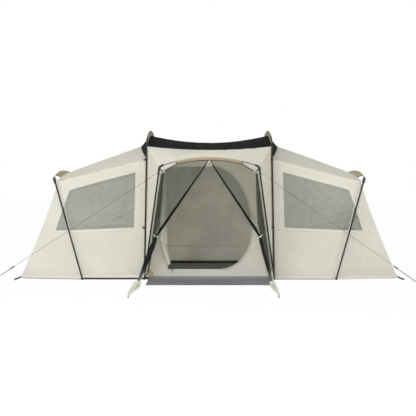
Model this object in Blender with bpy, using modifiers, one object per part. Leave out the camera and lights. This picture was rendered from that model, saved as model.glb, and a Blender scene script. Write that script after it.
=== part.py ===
"""Cabin-style glamping tent with two low wings, a mesh roof and a leaning porch awning.

Metres, +Z up. The front, with the door and the porch, faces -Y. The origin is the middle of the
underside of the tent's groundsheet.
"""

import math

import bmesh
import bpy
import numpy as np
from mathutils import Vector

# Body of the tent
BODY_LENGTH = 5.50  # along X, between the pegged corners
BODY_DEPTH = 3.05  # along Y, between the front and the back wall
CORNER_SETBACK = 0.20  # how far the end corners stand back from the wall line
CLOTH = 0.003  # thickness that stands for a panel of cloth with its seam allowance
SEAM = 0.0003  # gap between two pieces that touch
HEM = 0.0012  # gap at an edge of cloth that meets the next face at a slant
LIP_HEIGHT = 0.035  # upstand of the groundsheet round the floor

# Cloth heights and widths of the middle bay
BAY_FOOT_X = 0.942  # half width of the middle bay at the ground
BAY_TOP_X = 0.905  # half width of the middle bay at the roof
FRONT_TOP_Z = 1.931  # cloth at a centre hoop, at the front and back wall
RIDGE_RISE = 0.171  # rise of the cloth from there to the middle of the hoop
FRONT_SAG = 0.053  # sag of the mesh roof between the hoops, at the front wall
MIDDLE_SAG = 0.113  # the same, at the middle of the tent

# Wings
EAVE_STEP = 0.175  # wing eave below the cloth of the middle bay, at the centre hoop
EAVE_FALL = 0.320  # fall of the wing eave from there to the outer corner
WING_IN_RISE = 0.180  # rise of the wing roof from the eave to its middle, inner edge
WING_OUT_RISE = 0.082  # the same, outer edge
WING_IN_FLARE = 0.138  # how far the inner edge of the roof swings out at its middle
WING_TOP_X = 2.195  # outer edge of the wing roof
FOLD_INSET = 0.045  # fold of the front wall behind the wing leg, from the outer edge at the eave
FOLD_FOOT_X = 1.810  # the same fold at the ground
FOLD_BOW = 0.20  # outward bow of that fold
END_CURVE = 1.15  # 1 gives a straight end, more gives a hollow one

# Door in the front wall
DOOR_LEFT_X = -0.600
DOOR_LEFT_LEAN = -0.040  # the straight edge leans this far outward at the top
DOOR_RIGHT_X = 0.614
DOOR_SILL_Z = 0.152
DOOR_HEAD = 0.291  # from the top of the door up to the cloth at the hoops
DOOR_SIDE_Z = 0.712  # height of the widest point
DOOR_TOP_RUN = 0.06  # where the top edge starts to curve
DOOR_FOOT_RUN = 0.15  # where the bottom edge starts to curve

# Windows in the wing walls
WINDOW_IN_TOP_X = 1.066
WINDOW_IN_FOOT_X = 1.093
WINDOW_IN_DROP = 0.194  # its inner top corner below the eave at the centre hoop
WINDOW_OUT_DROP = 0.134  # its outer top corner below the eave at the outer corner
WINDOW_OUT_INSET = 0.173  # its outer top corner short of the outer edge of the wing roof
WINDOW_OUT_FLARE = 0.041  # its outer lower corner beyond that edge
WINDOW_IN_FOOT_Z = 0.757
WINDOW_OUT_FOOT_Z = 0.707

# Poles
LEG_RADIUS = 0.0115
ARCH_RADIUS = 0.0080
ROD_RADIUS = 0.0055
FOOT_RADIUS = 0.014
FOOT_HEIGHT = 0.030
LEG_SWAGE = 0.002  # how much wider the swaged head of a leg is
LEG_OFFSET = 0.035  # leg axis in front of the wall line
JOINT_DROP = 0.111  # where leg and arch of a centre hoop plug together, below the cloth's top
ARCH_STANDOFF = 0.066  # axis of the centre arch above the cloth, at its middle
ARCH_SHOULDER = 0.099  # where its legs and its crown would meet, above the cloth at the walls
ARCH_BEND = 0.110
WING_FOOT_X = 1.835
WING_FOOT_OFFSET = 0.075  # foot of the wing leg in front of the wall line
WING_FOOT_LIFT = 0.003  # its sloping foot stands on one edge
WING_ELBOW_OUT = 0.050  # ends of the wing arch beyond the edge of the wing roof
WING_ELBOW_UP = 0.034  # and above its eave
WING_ARCH_BOW = 0.043  # how far the wing arch bows outward
WING_ARCH_RISE = 0.082
COLLAR = 0.018  # depth of an elbow's mouth
WING_ROD_Y = 1.500  # half length of the wing rod between its elbows
SLEEVE_CLOTH = 0.0015
SLEEVE_EASE = 0.0006  # room between the pole and its sleeve
CENTRE_SLEEVE_Y = 1.25  # half length of the sleeve over a centre arch
WING_SLEEVE_Y = 1.10  # the same, over a wing arch

# Porch
PIVOT_GAP = 0.001  # between the awning foot and the foot of the centre leg
PIVOT_Z = 0.020
AWNING_LEAN = math.radians(29.5)  # from upright, forward
AWNING_ELBOW_X = 0.688
AWNING_ELBOW_Z = 1.655
AWNING_TOP_Z = 1.779
ROD_X = 0.628  # half length of the awning rod between its elbows
AWNING_SLEEVE_X = 0.446  # half length of the awning's sleeve
AWNING_FIN = 0.036  # depth of the sleeve below the rod's axis
PRONG_X = 0.646
PRONG_Z = 1.579
PORCH_HALF_WIDTH = 0.880
PORCH_DEPTH = 0.885
PORCH_MAT = 0.003

# Screen curtains, tied back to the awning legs
TIE_X = 0.745
TIE_Z = 0.654
CURTAIN_CLOTH = 0.0025
CURTAIN_FOLDS = 3
FOLD_DEPTH = 0.016
LEG_TAPE = 0.030  # from the leg's axis to the curtain's outer edge
ROLL_TOP_RADIUS = 0.010
ROLL_RADIUS = 0.024
TIP_X_LEFT = 0.984  # lower end of the rolled edge, as pitched
TIP_X_RIGHT = 0.867
TIP_FORWARD = 0.90  # in front of the wall line
TIP_Z = 0.062
TAIL_SLACK = 0.030  # how far the edge below the tie hangs under a straight line
SKIRT_END_X_LEFT = 1.050
SKIRT_END_X_RIGHT = 0.905
SKIRT_END_FORWARD = 2.11
SKIRT_WIDTH = 0.085
SKIRT_LIFT = 0.040
PEG_X_LEFT = 1.034
PEG_X_RIGHT = 0.888
PEG_FORWARD = 2.60

# Rolled door panel and its zip
ROLL_DOOR_RADIUS = 0.030
ROLL_FOOT_Z = 0.225
ROLL_SWING_Z = 0.660  # below this height it swings in towards the sill
ROLL_SWING_X = 0.085  # how far
ROLL_BESIDE = 0.062  # from the door's straight edge to the middle of the roll
SLIDER_START_X = -0.540

# Guy lines
CORD_DIAMETER = 0.005
GUY_STANDOFF = 0.0023  # from the leg's surface to the end of the cord
PEG_WIRE = 0.004
GUY_RING_Z = 1.575  # where it is tied to the awning leg
GUY_FOOT_Z = 0.030  # where it holds its peg
GUY_PEG_X_LEFT = 3.070
GUY_PEG_X_RIGHT = 2.900
GUY_PEG_FORWARD = 1.75
ADJUSTER_SHARE = 0.18  # its place between peg and awning
ADJUSTER_LENGTH = 0.070

# Pegs of the front corners
CORNER_PEG_X = 2.810
CORNER_PEG_FORWARD = 0.165

HALF_DEPTH = BODY_DEPTH / 2
HALF_LENGTH = BODY_LENGTH / 2
WALL_FOOT_Z = LIP_HEIGHT + SEAM
BUTT = 1.1 * CLOTH + SEAM  # a panel stops this far short of the face of the one that laps it
LEG_Y = -HALF_DEPTH - LEG_OFFSET
PIVOT_Y = LEG_Y - FOOT_RADIUS - PIVOT_GAP - LEG_RADIUS
EAVE_IN_Z = FRONT_TOP_Z - EAVE_STEP
EAVE_OUT_Z = EAVE_IN_Z - EAVE_FALL
FOLD_TOP_X = WING_TOP_X - FOLD_INSET
DOOR_TOP_Z = FRONT_TOP_Z - DOOR_HEAD
JOINT_Z = FRONT_TOP_Z - JOINT_DROP
ARCH_TOP_Z = FRONT_TOP_Z + RIDGE_RISE + ARCH_STANDOFF
ARCH_CORNER_Z = FRONT_TOP_Z + ARCH_SHOULDER
WING_ELBOW_X = WING_TOP_X + WING_ELBOW_OUT
WING_ELBOW_Z = EAVE_OUT_Z + WING_ELBOW_UP
WINDOW = (
    (WINDOW_IN_TOP_X, EAVE_IN_Z - WINDOW_IN_DROP),
    (WING_TOP_X - WINDOW_OUT_INSET, EAVE_OUT_Z - WINDOW_OUT_DROP),
    (WING_TOP_X + WINDOW_OUT_FLARE, WINDOW_OUT_FOOT_Z),
    (WINDOW_IN_FOOT_X, WINDOW_IN_FOOT_Z),
)

# Left (-1) and right (1) as pitched
TIP_X = {-1: TIP_X_LEFT, 1: TIP_X_RIGHT}
SKIRT_END_X = {-1: SKIRT_END_X_LEFT, 1: SKIRT_END_X_RIGHT}
PEG_X = {-1: PEG_X_LEFT, 1: PEG_X_RIGHT}
GUY_PEG_X = {-1: GUY_PEG_X_LEFT, 1: GUY_PEG_X_RIGHT}

SLOTS = {
    "canvas": ((0.68, 0.66, 0.57), 0.85, 0.0),
    "tan_cloth": ((0.50, 0.40, 0.28), 0.85, 0.0),
    "dark_mesh": ((0.03, 0.03, 0.03), 0.90, 0.0),
    "window_mesh": ((0.30, 0.32, 0.27), 0.90, 0.0),
    "screen_mesh": ((0.18, 0.18, 0.16), 0.90, 0.0),
    "black_floor": ((0.02, 0.02, 0.02), 0.70, 0.0),
    "porch_mat": ((0.20, 0.20, 0.19), 0.80, 0.0),
    "pole_paint": ((0.06, 0.07, 0.05), 0.45, 0.6),
    "rod": ((0.03, 0.03, 0.03), 0.40, 0.0),
    "black_plastic": ((0.02, 0.02, 0.02), 0.50, 0.0),
    "steel": ((0.45, 0.45, 0.44), 0.35, 1.0),
    "cord": ((0.30, 0.31, 0.27), 0.80, 0.0),
}


def clear_scene():
    for old in list(bpy.data.objects):
        bpy.data.objects.remove(old, do_unlink=True)


def new_collection(name):
    found = bpy.data.collections.new(name)
    bpy.context.scene.collection.children.link(found)
    return found


def make_materials():
    made = {}
    for name, (colour, roughness, metallic) in SLOTS.items():
        made[name] = bpy.data.materials.new(name)
        made[name].use_nodes = True
        shader = made[name].node_tree.nodes["Principled BSDF"]
        shader.inputs["Base Color"].default_value = (*colour, 1.0)
        shader.inputs["Roughness"].default_value = roughness
        shader.inputs["Metallic"].default_value = metallic
    return made


clear_scene()
PARTS = new_collection("glamping_tent")
CUTTERS = new_collection("cutters")
MATERIALS = make_materials()


def add_object(name, data, slot):
    """A new object of the tent with this mesh or curve and the finish of this slot."""
    made = bpy.data.objects.new(name, data)
    made.data.materials.append(MATERIALS[slot])
    PARTS.objects.link(made)
    return made


def hide_cutter(cutter):
    PARTS.objects.unlink(cutter)
    CUTTERS.objects.link(cutter)
    cutter.hide_render = True
    cutter.display_type = "WIRE"


def boolean(target, cutter, operation):
    step = target.modifiers.new(operation.lower(), "BOOLEAN")
    step.operation = operation
    step.object = cutter


def lerp(a, b, t):
    return np.asarray(a) + (np.asarray(b) - np.asarray(a)) * t


def grid_mesh(name, rows, outward):
    """An open mesh over a grid of points, its faces turned towards the outward direction."""
    rows = np.asarray(rows, float)
    down, across = rows.shape[:2]
    index = np.arange(down * across).reshape(down, across)
    quads = np.stack(
        [index[:-1, :-1], index[:-1, 1:], index[1:, 1:], index[1:, :-1]], axis=-1
    ).reshape(-1, 4)
    points = rows.reshape(-1, 3)
    corners = points[quads]
    normals = np.cross(corners[:, 2] - corners[:, 0], corners[:, 3] - corners[:, 1])
    if (normals.sum(axis=0) * np.asarray(outward)).sum() < 0:
        quads = quads[:, ::-1]
    mesh = bpy.data.meshes.new(name)
    mesh.from_pydata(points.tolist(), [], quads.tolist())
    return mesh


def panel(name, rows, outward, slot, thickness=CLOTH):
    """A piece of cloth whose outer face runs through the grid and whose thickness goes inward."""
    made = add_object(name, grid_mesh(name, rows, outward), slot)
    made.data.shade_smooth()
    made.data.set_sharp_from_angle(angle=math.radians(35))
    shell = made.modifiers.new("thickness", "SOLIDIFY")
    shell.thickness = thickness
    shell.offset = -1
    shell.use_even_offset = True
    return made


def prism(name, outline, y_low, y_high):
    """A cutter: an outline in X and Z carried from one Y to the other."""
    form = bmesh.new()
    face = form.faces.new([form.verts.new((x, y_low, z)) for x, z in outline])
    moved = bmesh.ops.extrude_face_region(form, geom=[face])["geom"]
    verts = [v for v in moved if isinstance(v, bmesh.types.BMVert)]
    bmesh.ops.translate(form, verts=verts, vec=(0, y_high - y_low, 0))
    bmesh.ops.recalc_face_normals(form, faces=form.faces)
    mesh = bpy.data.meshes.new(name)
    form.to_mesh(mesh)
    form.free()
    made = add_object(name, mesh, "canvas")
    hide_cutter(made)
    return made


def tube(name, route, radius, slot, resolution=2):
    """A round tube along the points of a route, closed at both ends."""
    curve = bpy.data.curves.new(name, "CURVE")
    curve.dimensions = "3D"
    curve.bevel_depth = radius
    curve.bevel_resolution = resolution
    curve.use_fill_caps = True
    spline = curve.splines.new("POLY")
    spline.points.add(len(route) - 1)
    for point, place in zip(spline.points, route):
        point.co = (*place, 1.0)
    return add_object(name, curve, slot)


def turned(name, profile, base, tip, slot, steps=12):
    """A profile of (radius, height) turned about the line from base to tip, heights from base."""
    mesh = bpy.data.meshes.new(name)
    points = [(radius, 0, height) for radius, height in reversed(profile)]
    mesh.from_pydata(points, [(k, k + 1) for k in range(len(points) - 1)], [])
    made = add_object(name, mesh, slot)
    made.location = base
    made.rotation_mode = "QUATERNION"
    made.rotation_quaternion = (Vector(tip) - Vector(base)).to_track_quat("Z", "Y")
    screw = made.modifiers.new("turn", "SCREW")
    screw.steps = steps
    screw.render_steps = steps
    screw.use_merge_vertices = True
    screw.merge_threshold = 0.0001
    return made


def frames_along(route, side_hint):
    """At each point of a route, two unit vectors square to it, the first nearest the hint."""
    route = np.asarray(route, float)
    along = np.gradient(route, axis=0)
    along /= np.linalg.norm(along, axis=1, keepdims=True)
    hint = np.broadcast_to(np.asarray(side_hint, float), route.shape)
    first = hint - along * (hint * along).sum(axis=1, keepdims=True)
    first /= np.linalg.norm(first, axis=1, keepdims=True)
    return first, np.cross(along, first)


def swept(name, route, radii, slot, sides=10, side_hint=(0, 0, 1), flat=1.0):
    """A closed round body along a route, with its own radius at each point."""
    route = np.asarray(route, float)
    first, second = frames_along(route, side_hint)
    turn = np.arange(sides) * 2 * math.pi / sides
    radii = np.broadcast_to(np.asarray(radii, float), len(route))[:, None, None]
    rings = (
        route[:, None]
        + radii * np.cos(turn)[None, :, None] * first[:, None]
        + radii * flat * np.sin(turn)[None, :, None] * second[:, None]
    )
    index = np.arange(len(route) * sides).reshape(len(route), sides)
    after = np.roll(index, -1, axis=1)
    quads = np.stack([index[:-1], after[:-1], after[1:], index[1:]], axis=-1)
    faces = quads.reshape(-1, 4).tolist()
    faces += [index[0, ::-1].tolist(), index[-1].tolist()]
    mesh = bpy.data.meshes.new(name)
    mesh.from_pydata(rings.reshape(-1, 3).tolist(), [], faces)
    made = add_object(name, mesh, slot)
    made.data.shade_smooth()
    made.data.set_sharp_from_angle(angle=math.radians(50))
    return made


def sleeve(name, route, seam, radius, outward):
    """A strip of cloth folded over a pole and sewn to the seam: two walls and a round top."""
    route = np.asarray(route, float)
    seam = np.asarray(seam, float)
    drop, aside = frames_along(route, seam - route)
    reach = ((seam - route) * drop).sum(axis=1)[:, None, None]
    turn = np.radians(np.linspace(80, 280, 7))
    round_radius = (radius + SLEEVE_EASE + SLEEVE_CLOTH) / math.cos((turn[1] - turn[0]) / 2)
    wall = SLEEVE_CLOTH + SEAM
    depth = np.concatenate([[np.nan], np.cos(turn) * round_radius, [np.nan]])
    width = np.concatenate([[wall], np.sin(turn) * round_radius, [-wall]])
    depth = np.broadcast_to(depth[None, :, None], (len(route), len(depth), 1)).copy()
    depth[:, [0, -1]] = reach - SEAM
    rows = route[:, None] + depth * drop[:, None] + width[None, :, None] * aside[:, None]
    middle = grid_mesh(name, rows, (0, 0, 1))
    made = add_object(name, middle, "tan_cloth")
    form = bmesh.new()
    form.from_mesh(middle)
    form.faces.ensure_lookup_table()
    face = form.faces[len(turn) // 2]
    nearest = Vector(route[0])
    if (face.calc_center_median() - nearest).dot(face.normal) < 0:
        bmesh.ops.reverse_faces(form, faces=form.faces)
    form.to_mesh(middle)
    form.free()
    middle.shade_smooth()
    shell = made.modifiers.new("thickness", "SOLIDIFY")
    shell.thickness = SLEEVE_CLOTH
    shell.offset = -1
    shell.use_even_offset = True
    return made


def bay_x(z):
    """Half width of the middle bay at a height."""
    return BAY_FOOT_X + (BAY_TOP_X - BAY_FOOT_X) * z / FRONT_TOP_Z


def crown(y):
    """0 at the front and back wall, 1 at the middle of the tent."""
    return 1 - (y / HALF_DEPTH) ** 2


def hoop_cloth_z(y):
    return FRONT_TOP_Z + RIDGE_RISE * crown(y)


def mesh_roof_z(x, y):
    sag = FRONT_SAG + (MIDDLE_SAG - FRONT_SAG) * crown(y)
    return hoop_cloth_z(y) - sag * (1 - (x / BAY_TOP_X) ** 2)


def eave_z(x):
    inner = bay_x(EAVE_IN_Z)
    return EAVE_IN_Z + (EAVE_OUT_Z - EAVE_IN_Z) * (x - inner) / (WING_TOP_X - inner)


def wing_inner_edge(side, y):
    x = bay_x(EAVE_IN_Z) + WING_IN_FLARE * crown(y)
    return np.array([side * x, y, EAVE_IN_Z + WING_IN_RISE * crown(y)])


def wing_outer_edge(side, y):
    return np.array([side * WING_TOP_X, y, EAVE_OUT_Z + WING_OUT_RISE * crown(y)])


def corner_x(t):
    """X of the end corner, from the ground at 0 to the eave at 1."""
    return WING_TOP_X + (HALF_LENGTH - WING_TOP_X) * (1 - t) ** END_CURVE


def corner_y(t):
    return HALF_DEPTH - CORNER_SETBACK * (1 - t)


def fold_x(t):
    return FOLD_FOOT_X + (FOLD_TOP_X - FOLD_FOOT_X) * t + FOLD_BOW * t * (1 - t)


def centre_wall(name, face):
    """The wall of the middle bay. face is -1 at the front, 1 at the back."""
    rows = []
    for t in (0, 1):
        row = []
        for u in np.linspace(-1, 1, 13):
            top = mesh_roof_z(u * BAY_TOP_X, HALF_DEPTH) - BUTT
            z = lerp(WALL_FOOT_Z, top, t)
            row.append((u * (bay_x(z) - BUTT), face * HALF_DEPTH, z))
        rows.append(row)
    return panel(name, rows, (0, face, 0), "canvas")


def wing_wall_rows(side, face):
    rows = []
    for t in np.linspace(0, 1, 9):
        z_inner = lerp(WALL_FOOT_Z, EAVE_IN_Z - BUTT, t)
        z_fold = lerp(WALL_FOOT_Z, eave_z(FOLD_TOP_X) - BUTT, t)
        z_corner = lerp(WALL_FOOT_Z, EAVE_OUT_Z - BUTT, t)
        inner = (bay_x(z_inner) - BUTT + SEAM, -HALF_DEPTH, z_inner)
        fold = (fold_x(t), -HALF_DEPTH, z_fold)
        corner = (corner_x(t) - BUTT, -corner_y(t), z_corner)
        row = [lerp(inner, fold, u) for u in np.linspace(0, 1, 4)]
        row += [lerp(fold, corner, u) for u in (0.5, 1)]
        rows.append([(side * x, -face * y, z) for x, y, z in row])
    return rows


def window_prism(name, side, ease):
    """A cutter through a wing wall. ease makes the outline smaller all round."""
    middle = np.mean(WINDOW, axis=0)
    outline = []
    for corner in np.asarray(WINDOW):
        inward = middle - corner
        outline.append(corner + inward / np.linalg.norm(inward) * ease)
    outline = [(side * x, z) for x, z in outline]
    return prism(name, outline, -HALF_DEPTH - 0.05, -HALF_DEPTH + 0.20)


def door_outline():
    """D shape: straight hinge edge on the left, a long curve above and a tight one below."""
    points = [(DOOR_LEFT_X, DOOR_SILL_Z)]
    for angle in np.radians(np.linspace(-90, 0, 7)):
        x = DOOR_FOOT_RUN + (DOOR_RIGHT_X - DOOR_FOOT_RUN) * math.cos(angle)
        points.append((x, DOOR_SIDE_Z + (DOOR_SIDE_Z - DOOR_SILL_Z) * math.sin(angle)))
    for angle in np.radians(np.linspace(0, 90, 9))[1:]:
        x = DOOR_TOP_RUN + (DOOR_RIGHT_X - DOOR_TOP_RUN) * math.cos(angle)
        points.append((x, DOOR_SIDE_Z + (DOOR_TOP_Z - DOOR_SIDE_Z) * math.sin(angle)))
    points.append((DOOR_LEFT_X + DOOR_LEFT_LEAN, DOOR_TOP_Z))
    return points


def build_walls():
    front = centre_wall("front_wall", -1)
    cutter = prism("door_cut", door_outline(), -HALF_DEPTH - 0.05, -HALF_DEPTH + 0.05)
    boolean(front, cutter, "DIFFERENCE")
    centre_wall("back_wall", 1)
    for side, word in ((-1, "left"), (1, "right")):
        front_rows = wing_wall_rows(side, -1)
        wall = panel(f"wing_front_wall_{word}", front_rows, (0, -1, 0), "canvas")
        boolean(wall, window_prism(f"window_cut_{word}", side, 0), "DIFFERENCE")
        mesh = panel(f"window_mesh_{word}", front_rows, (0, -1, 0), "window_mesh")
        boolean(mesh, window_prism(f"window_fit_{word}", side, 2 * SEAM), "INTERSECT")
        panel(f"wing_back_wall_{word}", wing_wall_rows(side, 1), (0, 1, 0), "canvas")


def build_ends_and_roofs():
    steps = np.linspace(-1, 1, 9)
    for side, word in ((-1, "left"), (1, "right")):
        rows = []
        for t in np.linspace(0, 1, 9):
            row = []
            for u in steps:
                y = u * corner_y(t)
                top = wing_outer_edge(side, u * HALF_DEPTH)[2] - BUTT
                row.append((side * corner_x(t), y, lerp(WALL_FOOT_Z + HEM, top, t)))
            rows.append(row)
        panel(f"end_wall_{word}", rows, (side, 0, 0), "canvas")
        rows = []
        for u in steps:
            y = u * HALF_DEPTH
            inner = wing_inner_edge(side, y)
            outer = wing_outer_edge(side, y)
            across = (outer - inner) / np.linalg.norm(outer - inner)
            rows.append([lerp(inner + across * SEAM, outer, t) for t in np.linspace(0, 1, 4)])
        panel(f"wing_roof_{word}", rows, (0, 0, 1), "canvas")
    rows = []
    for u in np.linspace(-1, 1, 11):
        y = u * HALF_DEPTH
        edge = wing_inner_edge(1, y)
        hoop = np.array([BAY_TOP_X, y, hoop_cloth_z(y)])
        stop = edge + (hoop - edge) / np.linalg.norm(hoop - edge) * SEAM
        strip = [lerp(stop, hoop, t) for t in (0, 0.5)]
        span = [(x, y, mesh_roof_z(x, y)) for x in BAY_TOP_X * np.linspace(1, -1, 11)]
        rows.append(strip + span + [p * (-1, 1, 1) for p in reversed(strip)])
    panel("mesh_roof", rows, (0, 0, 1), "dark_mesh")


def build_floors():
    corner = (HALF_LENGTH, HALF_DEPTH - CORNER_SETBACK)
    quarter = [(FOLD_FOOT_X, HALF_DEPTH), corner]
    outline = [(x, -y) for x, y in quarter] + [(x, y) for x, y in reversed(quarter)]
    outline += [(-x, y) for x, y in quarter] + [(-x, -y) for x, y in reversed(quarter)]
    form = bmesh.new()
    face = form.faces.new([form.verts.new((x, y, 0)) for x, y in outline])
    face.normal_update()
    if face.normal.z > 0:
        face.normal_flip()
    rim = bmesh.ops.extrude_edge_only(form, edges=form.edges[:])["geom"]
    verts = [v for v in rim if isinstance(v, bmesh.types.BMVert)]
    bmesh.ops.translate(form, verts=verts, vec=(0, 0, LIP_HEIGHT))
    bmesh.ops.recalc_face_normals(form, faces=form.faces)
    bottom = min(form.faces, key=lambda f: f.calc_center_median().z)
    if bottom.normal.z > 0:
        bmesh.ops.reverse_faces(form, faces=form.faces)
    mesh = bpy.data.meshes.new("bathtub_floor")
    form.to_mesh(mesh)
    form.free()
    floor = add_object("bathtub_floor", mesh, "black_floor")
    shell = floor.modifiers.new("thickness", "SOLIDIFY")
    shell.thickness = CLOTH
    shell.offset = -1
    shell.use_even_offset = True
    back_y = -HALF_DEPTH - SEAM - PORCH_MAT
    profile = [(back_y, LIP_HEIGHT + 0.012), (back_y, 0.016), (back_y - 0.012, PORCH_MAT)]
    profile += [(-HALF_DEPTH - PORCH_DEPTH, PORCH_MAT)]
    ends = (-PORCH_HALF_WIDTH, PORCH_HALF_WIDTH)
    rows = [[(x, y, z) for x in ends] for y, z in profile]
    panel("porch_floor", rows, (0, 0, 1), "porch_mat", PORCH_MAT)


def leg_profile(length, head):
    """Capped foot, plain tube and a slightly wider swaged head."""
    return [
        (0, 0),
        (FOOT_RADIUS * 0.7, 0),
        (FOOT_RADIUS, 0.006),
        (FOOT_RADIUS, FOOT_HEIGHT),
        (LEG_RADIUS, FOOT_HEIGHT + 0.004),
        (LEG_RADIUS, length - 0.075),
        (head, length - 0.070),
        (head, length),
        (0, length),
    ]


def centre_arch_route(side):
    """Up from the joint, round the bend and over the roof to the other joint."""
    fall = (ARCH_TOP_Z - ARCH_CORNER_Z) / LEG_Y**2
    bend_y = LEG_Y + ARCH_BEND
    start = np.array([LEG_Y, ARCH_CORNER_Z - ARCH_BEND])
    corner = np.array([LEG_Y, ARCH_CORNER_Z])
    finish = np.array([bend_y, ARCH_TOP_Z - fall * bend_y**2])
    half = [(LEG_Y, JOINT_Z + SEAM)]
    for t in np.linspace(0, 1, 6):
        half.append((1 - t) ** 2 * start + 2 * t * (1 - t) * corner + t * t * finish)
    half += [(y, ARCH_TOP_Z - fall * y * y) for y in np.linspace(bend_y, 0, 9)[1:]]
    both = half + [(-y, z) for y, z in reversed(half[:-1])]
    return [(side * bay_x(min(z, FRONT_TOP_Z)), y, z) for y, z in both]


def wing_arch_point(side, y):
    rise = 1 - (y / LEG_Y) ** 2
    x = WING_ELBOW_X + WING_ARCH_BOW * rise
    return np.array([side * x, y, WING_ELBOW_Z + WING_ARCH_RISE * rise])


def build_centre_hoops():
    for side, word in ((-1, "left"), (1, "right")):
        for face, end in ((-1, "front"), (1, "back")):
            y = -face * LEG_Y
            base = (side * BAY_FOOT_X, y, SEAM)
            top = (side * bay_x(JOINT_Z), y, JOINT_Z)
            length = math.dist(base, top)
            profile = leg_profile(length, LEG_RADIUS + LEG_SWAGE)
            turned(f"centre_leg_{end}_{word}", profile, base, top, "pole_paint")
        route = centre_arch_route(side)
        tube(f"centre_arch_{word}", route, ARCH_RADIUS, "pole_paint")
        covered = [p for p in route if abs(p[1]) <= CENTRE_SLEEVE_Y]
        seam = [(side * BAY_TOP_X, y, hoop_cloth_z(y) + 2 * SEAM) for _, y, _ in covered]
        sleeve(f"centre_sleeve_{word}", covered, seam, ARCH_RADIUS, side)


def build_wing_hoops():
    for side, word in ((-1, "left"), (1, "right")):
        for face, end in ((-1, "front"), (1, "back")):
            foot_y = face * (HALF_DEPTH + WING_FOOT_OFFSET)
            base = np.array([side * WING_FOOT_X, foot_y, WING_FOOT_LIFT])
            elbow = wing_arch_point(side, -face * LEG_Y)
            up = (elbow - base) / np.linalg.norm(elbow - base)
            leg_top = elbow - up * 0.070
            length = np.linalg.norm(leg_top - base)
            turned(
                f"wing_leg_{end}_{word}",
                leg_profile(length, LEG_RADIUS + LEG_SWAGE),
                base,
                leg_top,
                "pole_paint",
            )
            ends = [wing_arch_point(side, face * y) for y in (WING_ROD_Y, WING_ROD_Y - 0.1)]
            route = elbow_route(leg_top, up, ends[0], unit(ends[0] - ends[1]))
            build_elbow(f"wing_elbow_{end}_{word}", route)
        places = [wing_arch_point(side, y) for y in WING_ROD_Y * np.linspace(-1, 1, 21)]
        tube(f"wing_arch_{word}", places, ROD_RADIUS, "rod")
        covered = [wing_arch_point(side, y) for y in WING_SLEEVE_Y * np.linspace(-1, 1, 13)]
        seam = [wing_outer_edge(side, p[1]) + (0, 0, SEAM) for p in covered]
        sleeve(f"wing_sleeve_{word}", covered, seam, ROD_RADIUS, side)


def elbow_route(leg_top, up, rod_end, out):
    """Straight out of the leg, round the corner, straight into the rod."""
    first = leg_top + up * COLLAR
    last = rod_end + out * COLLAR
    reach = 0.45 * np.linalg.norm(last - first)
    t = np.linspace(0, 1, 5)[:, None]
    bend = (1 - t) ** 3 * first + 3 * t * (1 - t) ** 2 * (first + up * reach)
    bend = bend + 3 * t * t * (1 - t) * (last + out * reach) + t**3 * last
    return np.concatenate([[leg_top + up * SEAM], bend, [rod_end + out * SEAM]])


def build_elbow(name, route):
    """A moulded corner socket with a thicker collar at each mouth."""
    radii = [0.0165, 0.0165, 0.0145, 0.0140, 0.0135, 0.0125, 0.0125]
    return swept(name, route, radii, "black_plastic", 10, (1, 0, 0))


def unit(vector):
    return np.asarray(vector) / np.linalg.norm(vector)


def awning_point(x, s, n=0.0):
    """A point of the leaning awning: across, up along its legs, and out of its plane."""
    lean = AWNING_LEAN
    y = PIVOT_Y - s * math.sin(lean) - n * math.cos(lean)
    return np.array([x, y, PIVOT_Z + s * math.cos(lean) - n * math.sin(lean)])


def slope(z):
    """Distance up the awning's plane for a height above the ground."""
    return (z - PIVOT_Z) / math.cos(AWNING_LEAN)


def awning_leg_x(s):
    return BAY_FOOT_X + (AWNING_ELBOW_X - BAY_FOOT_X) * s / slope(AWNING_ELBOW_Z)


def awning_arch_s(x):
    rise = slope(AWNING_TOP_Z) - slope(AWNING_ELBOW_Z)
    return slope(AWNING_TOP_Z) - rise * (x / AWNING_ELBOW_X) ** 2


def build_awning_hoop():
    top = slope(AWNING_ELBOW_Z)
    for side, word in ((-1, "left"), (1, "right")):
        base = awning_point(side * BAY_FOOT_X, 0)
        elbow = awning_point(side * AWNING_ELBOW_X, top)
        leg_top = lerp(elbow, base, 0.060 / top)
        length = np.linalg.norm(leg_top - base)
        profile = [
            (0, 0),
            (LEG_RADIUS * 0.8, 0),
            (LEG_RADIUS, 0.004),
            (LEG_RADIUS, length - 0.075),
            (LEG_RADIUS + LEG_SWAGE, length - 0.070),
            (LEG_RADIUS + LEG_SWAGE, length),
            (0, length),
        ]
        turned(f"awning_leg_{word}", profile, base, leg_top, "pole_paint")
        ends = [awning_point(side * x, awning_arch_s(x)) for x in (ROD_X, ROD_X - 0.05)]
        route = elbow_route(leg_top, unit(elbow - base), ends[0], unit(ends[0] - ends[1]))
        joint = build_elbow(f"awning_elbow_{word}", route)
        prong_top = route[3]
        prong_end = awning_point(side * PRONG_X, slope(PRONG_Z + 0.014))
        prong = swept(
            f"prong_{word}", [prong_top, lerp(prong_top, prong_end, 0.5), prong_end],
            0.006, "black_plastic", 8, (0, 1, 0)
        )
        hide_cutter(prong)
        boolean(joint, prong, "UNION")
    places = [awning_point(x, awning_arch_s(x)) for x in ROD_X * np.linspace(-1, 1, 21)]
    tube("awning_arch", places, ROD_RADIUS, "rod")
    covered = AWNING_SLEEVE_X * np.linspace(-1, 1, 13)
    route = [awning_point(x, awning_arch_s(x)) for x in covered]
    seam = [awning_point(x, awning_arch_s(x) - AWNING_FIN) for x in covered]
    sleeve("awning_sleeve", route, seam, ROD_RADIUS, 1)


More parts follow.
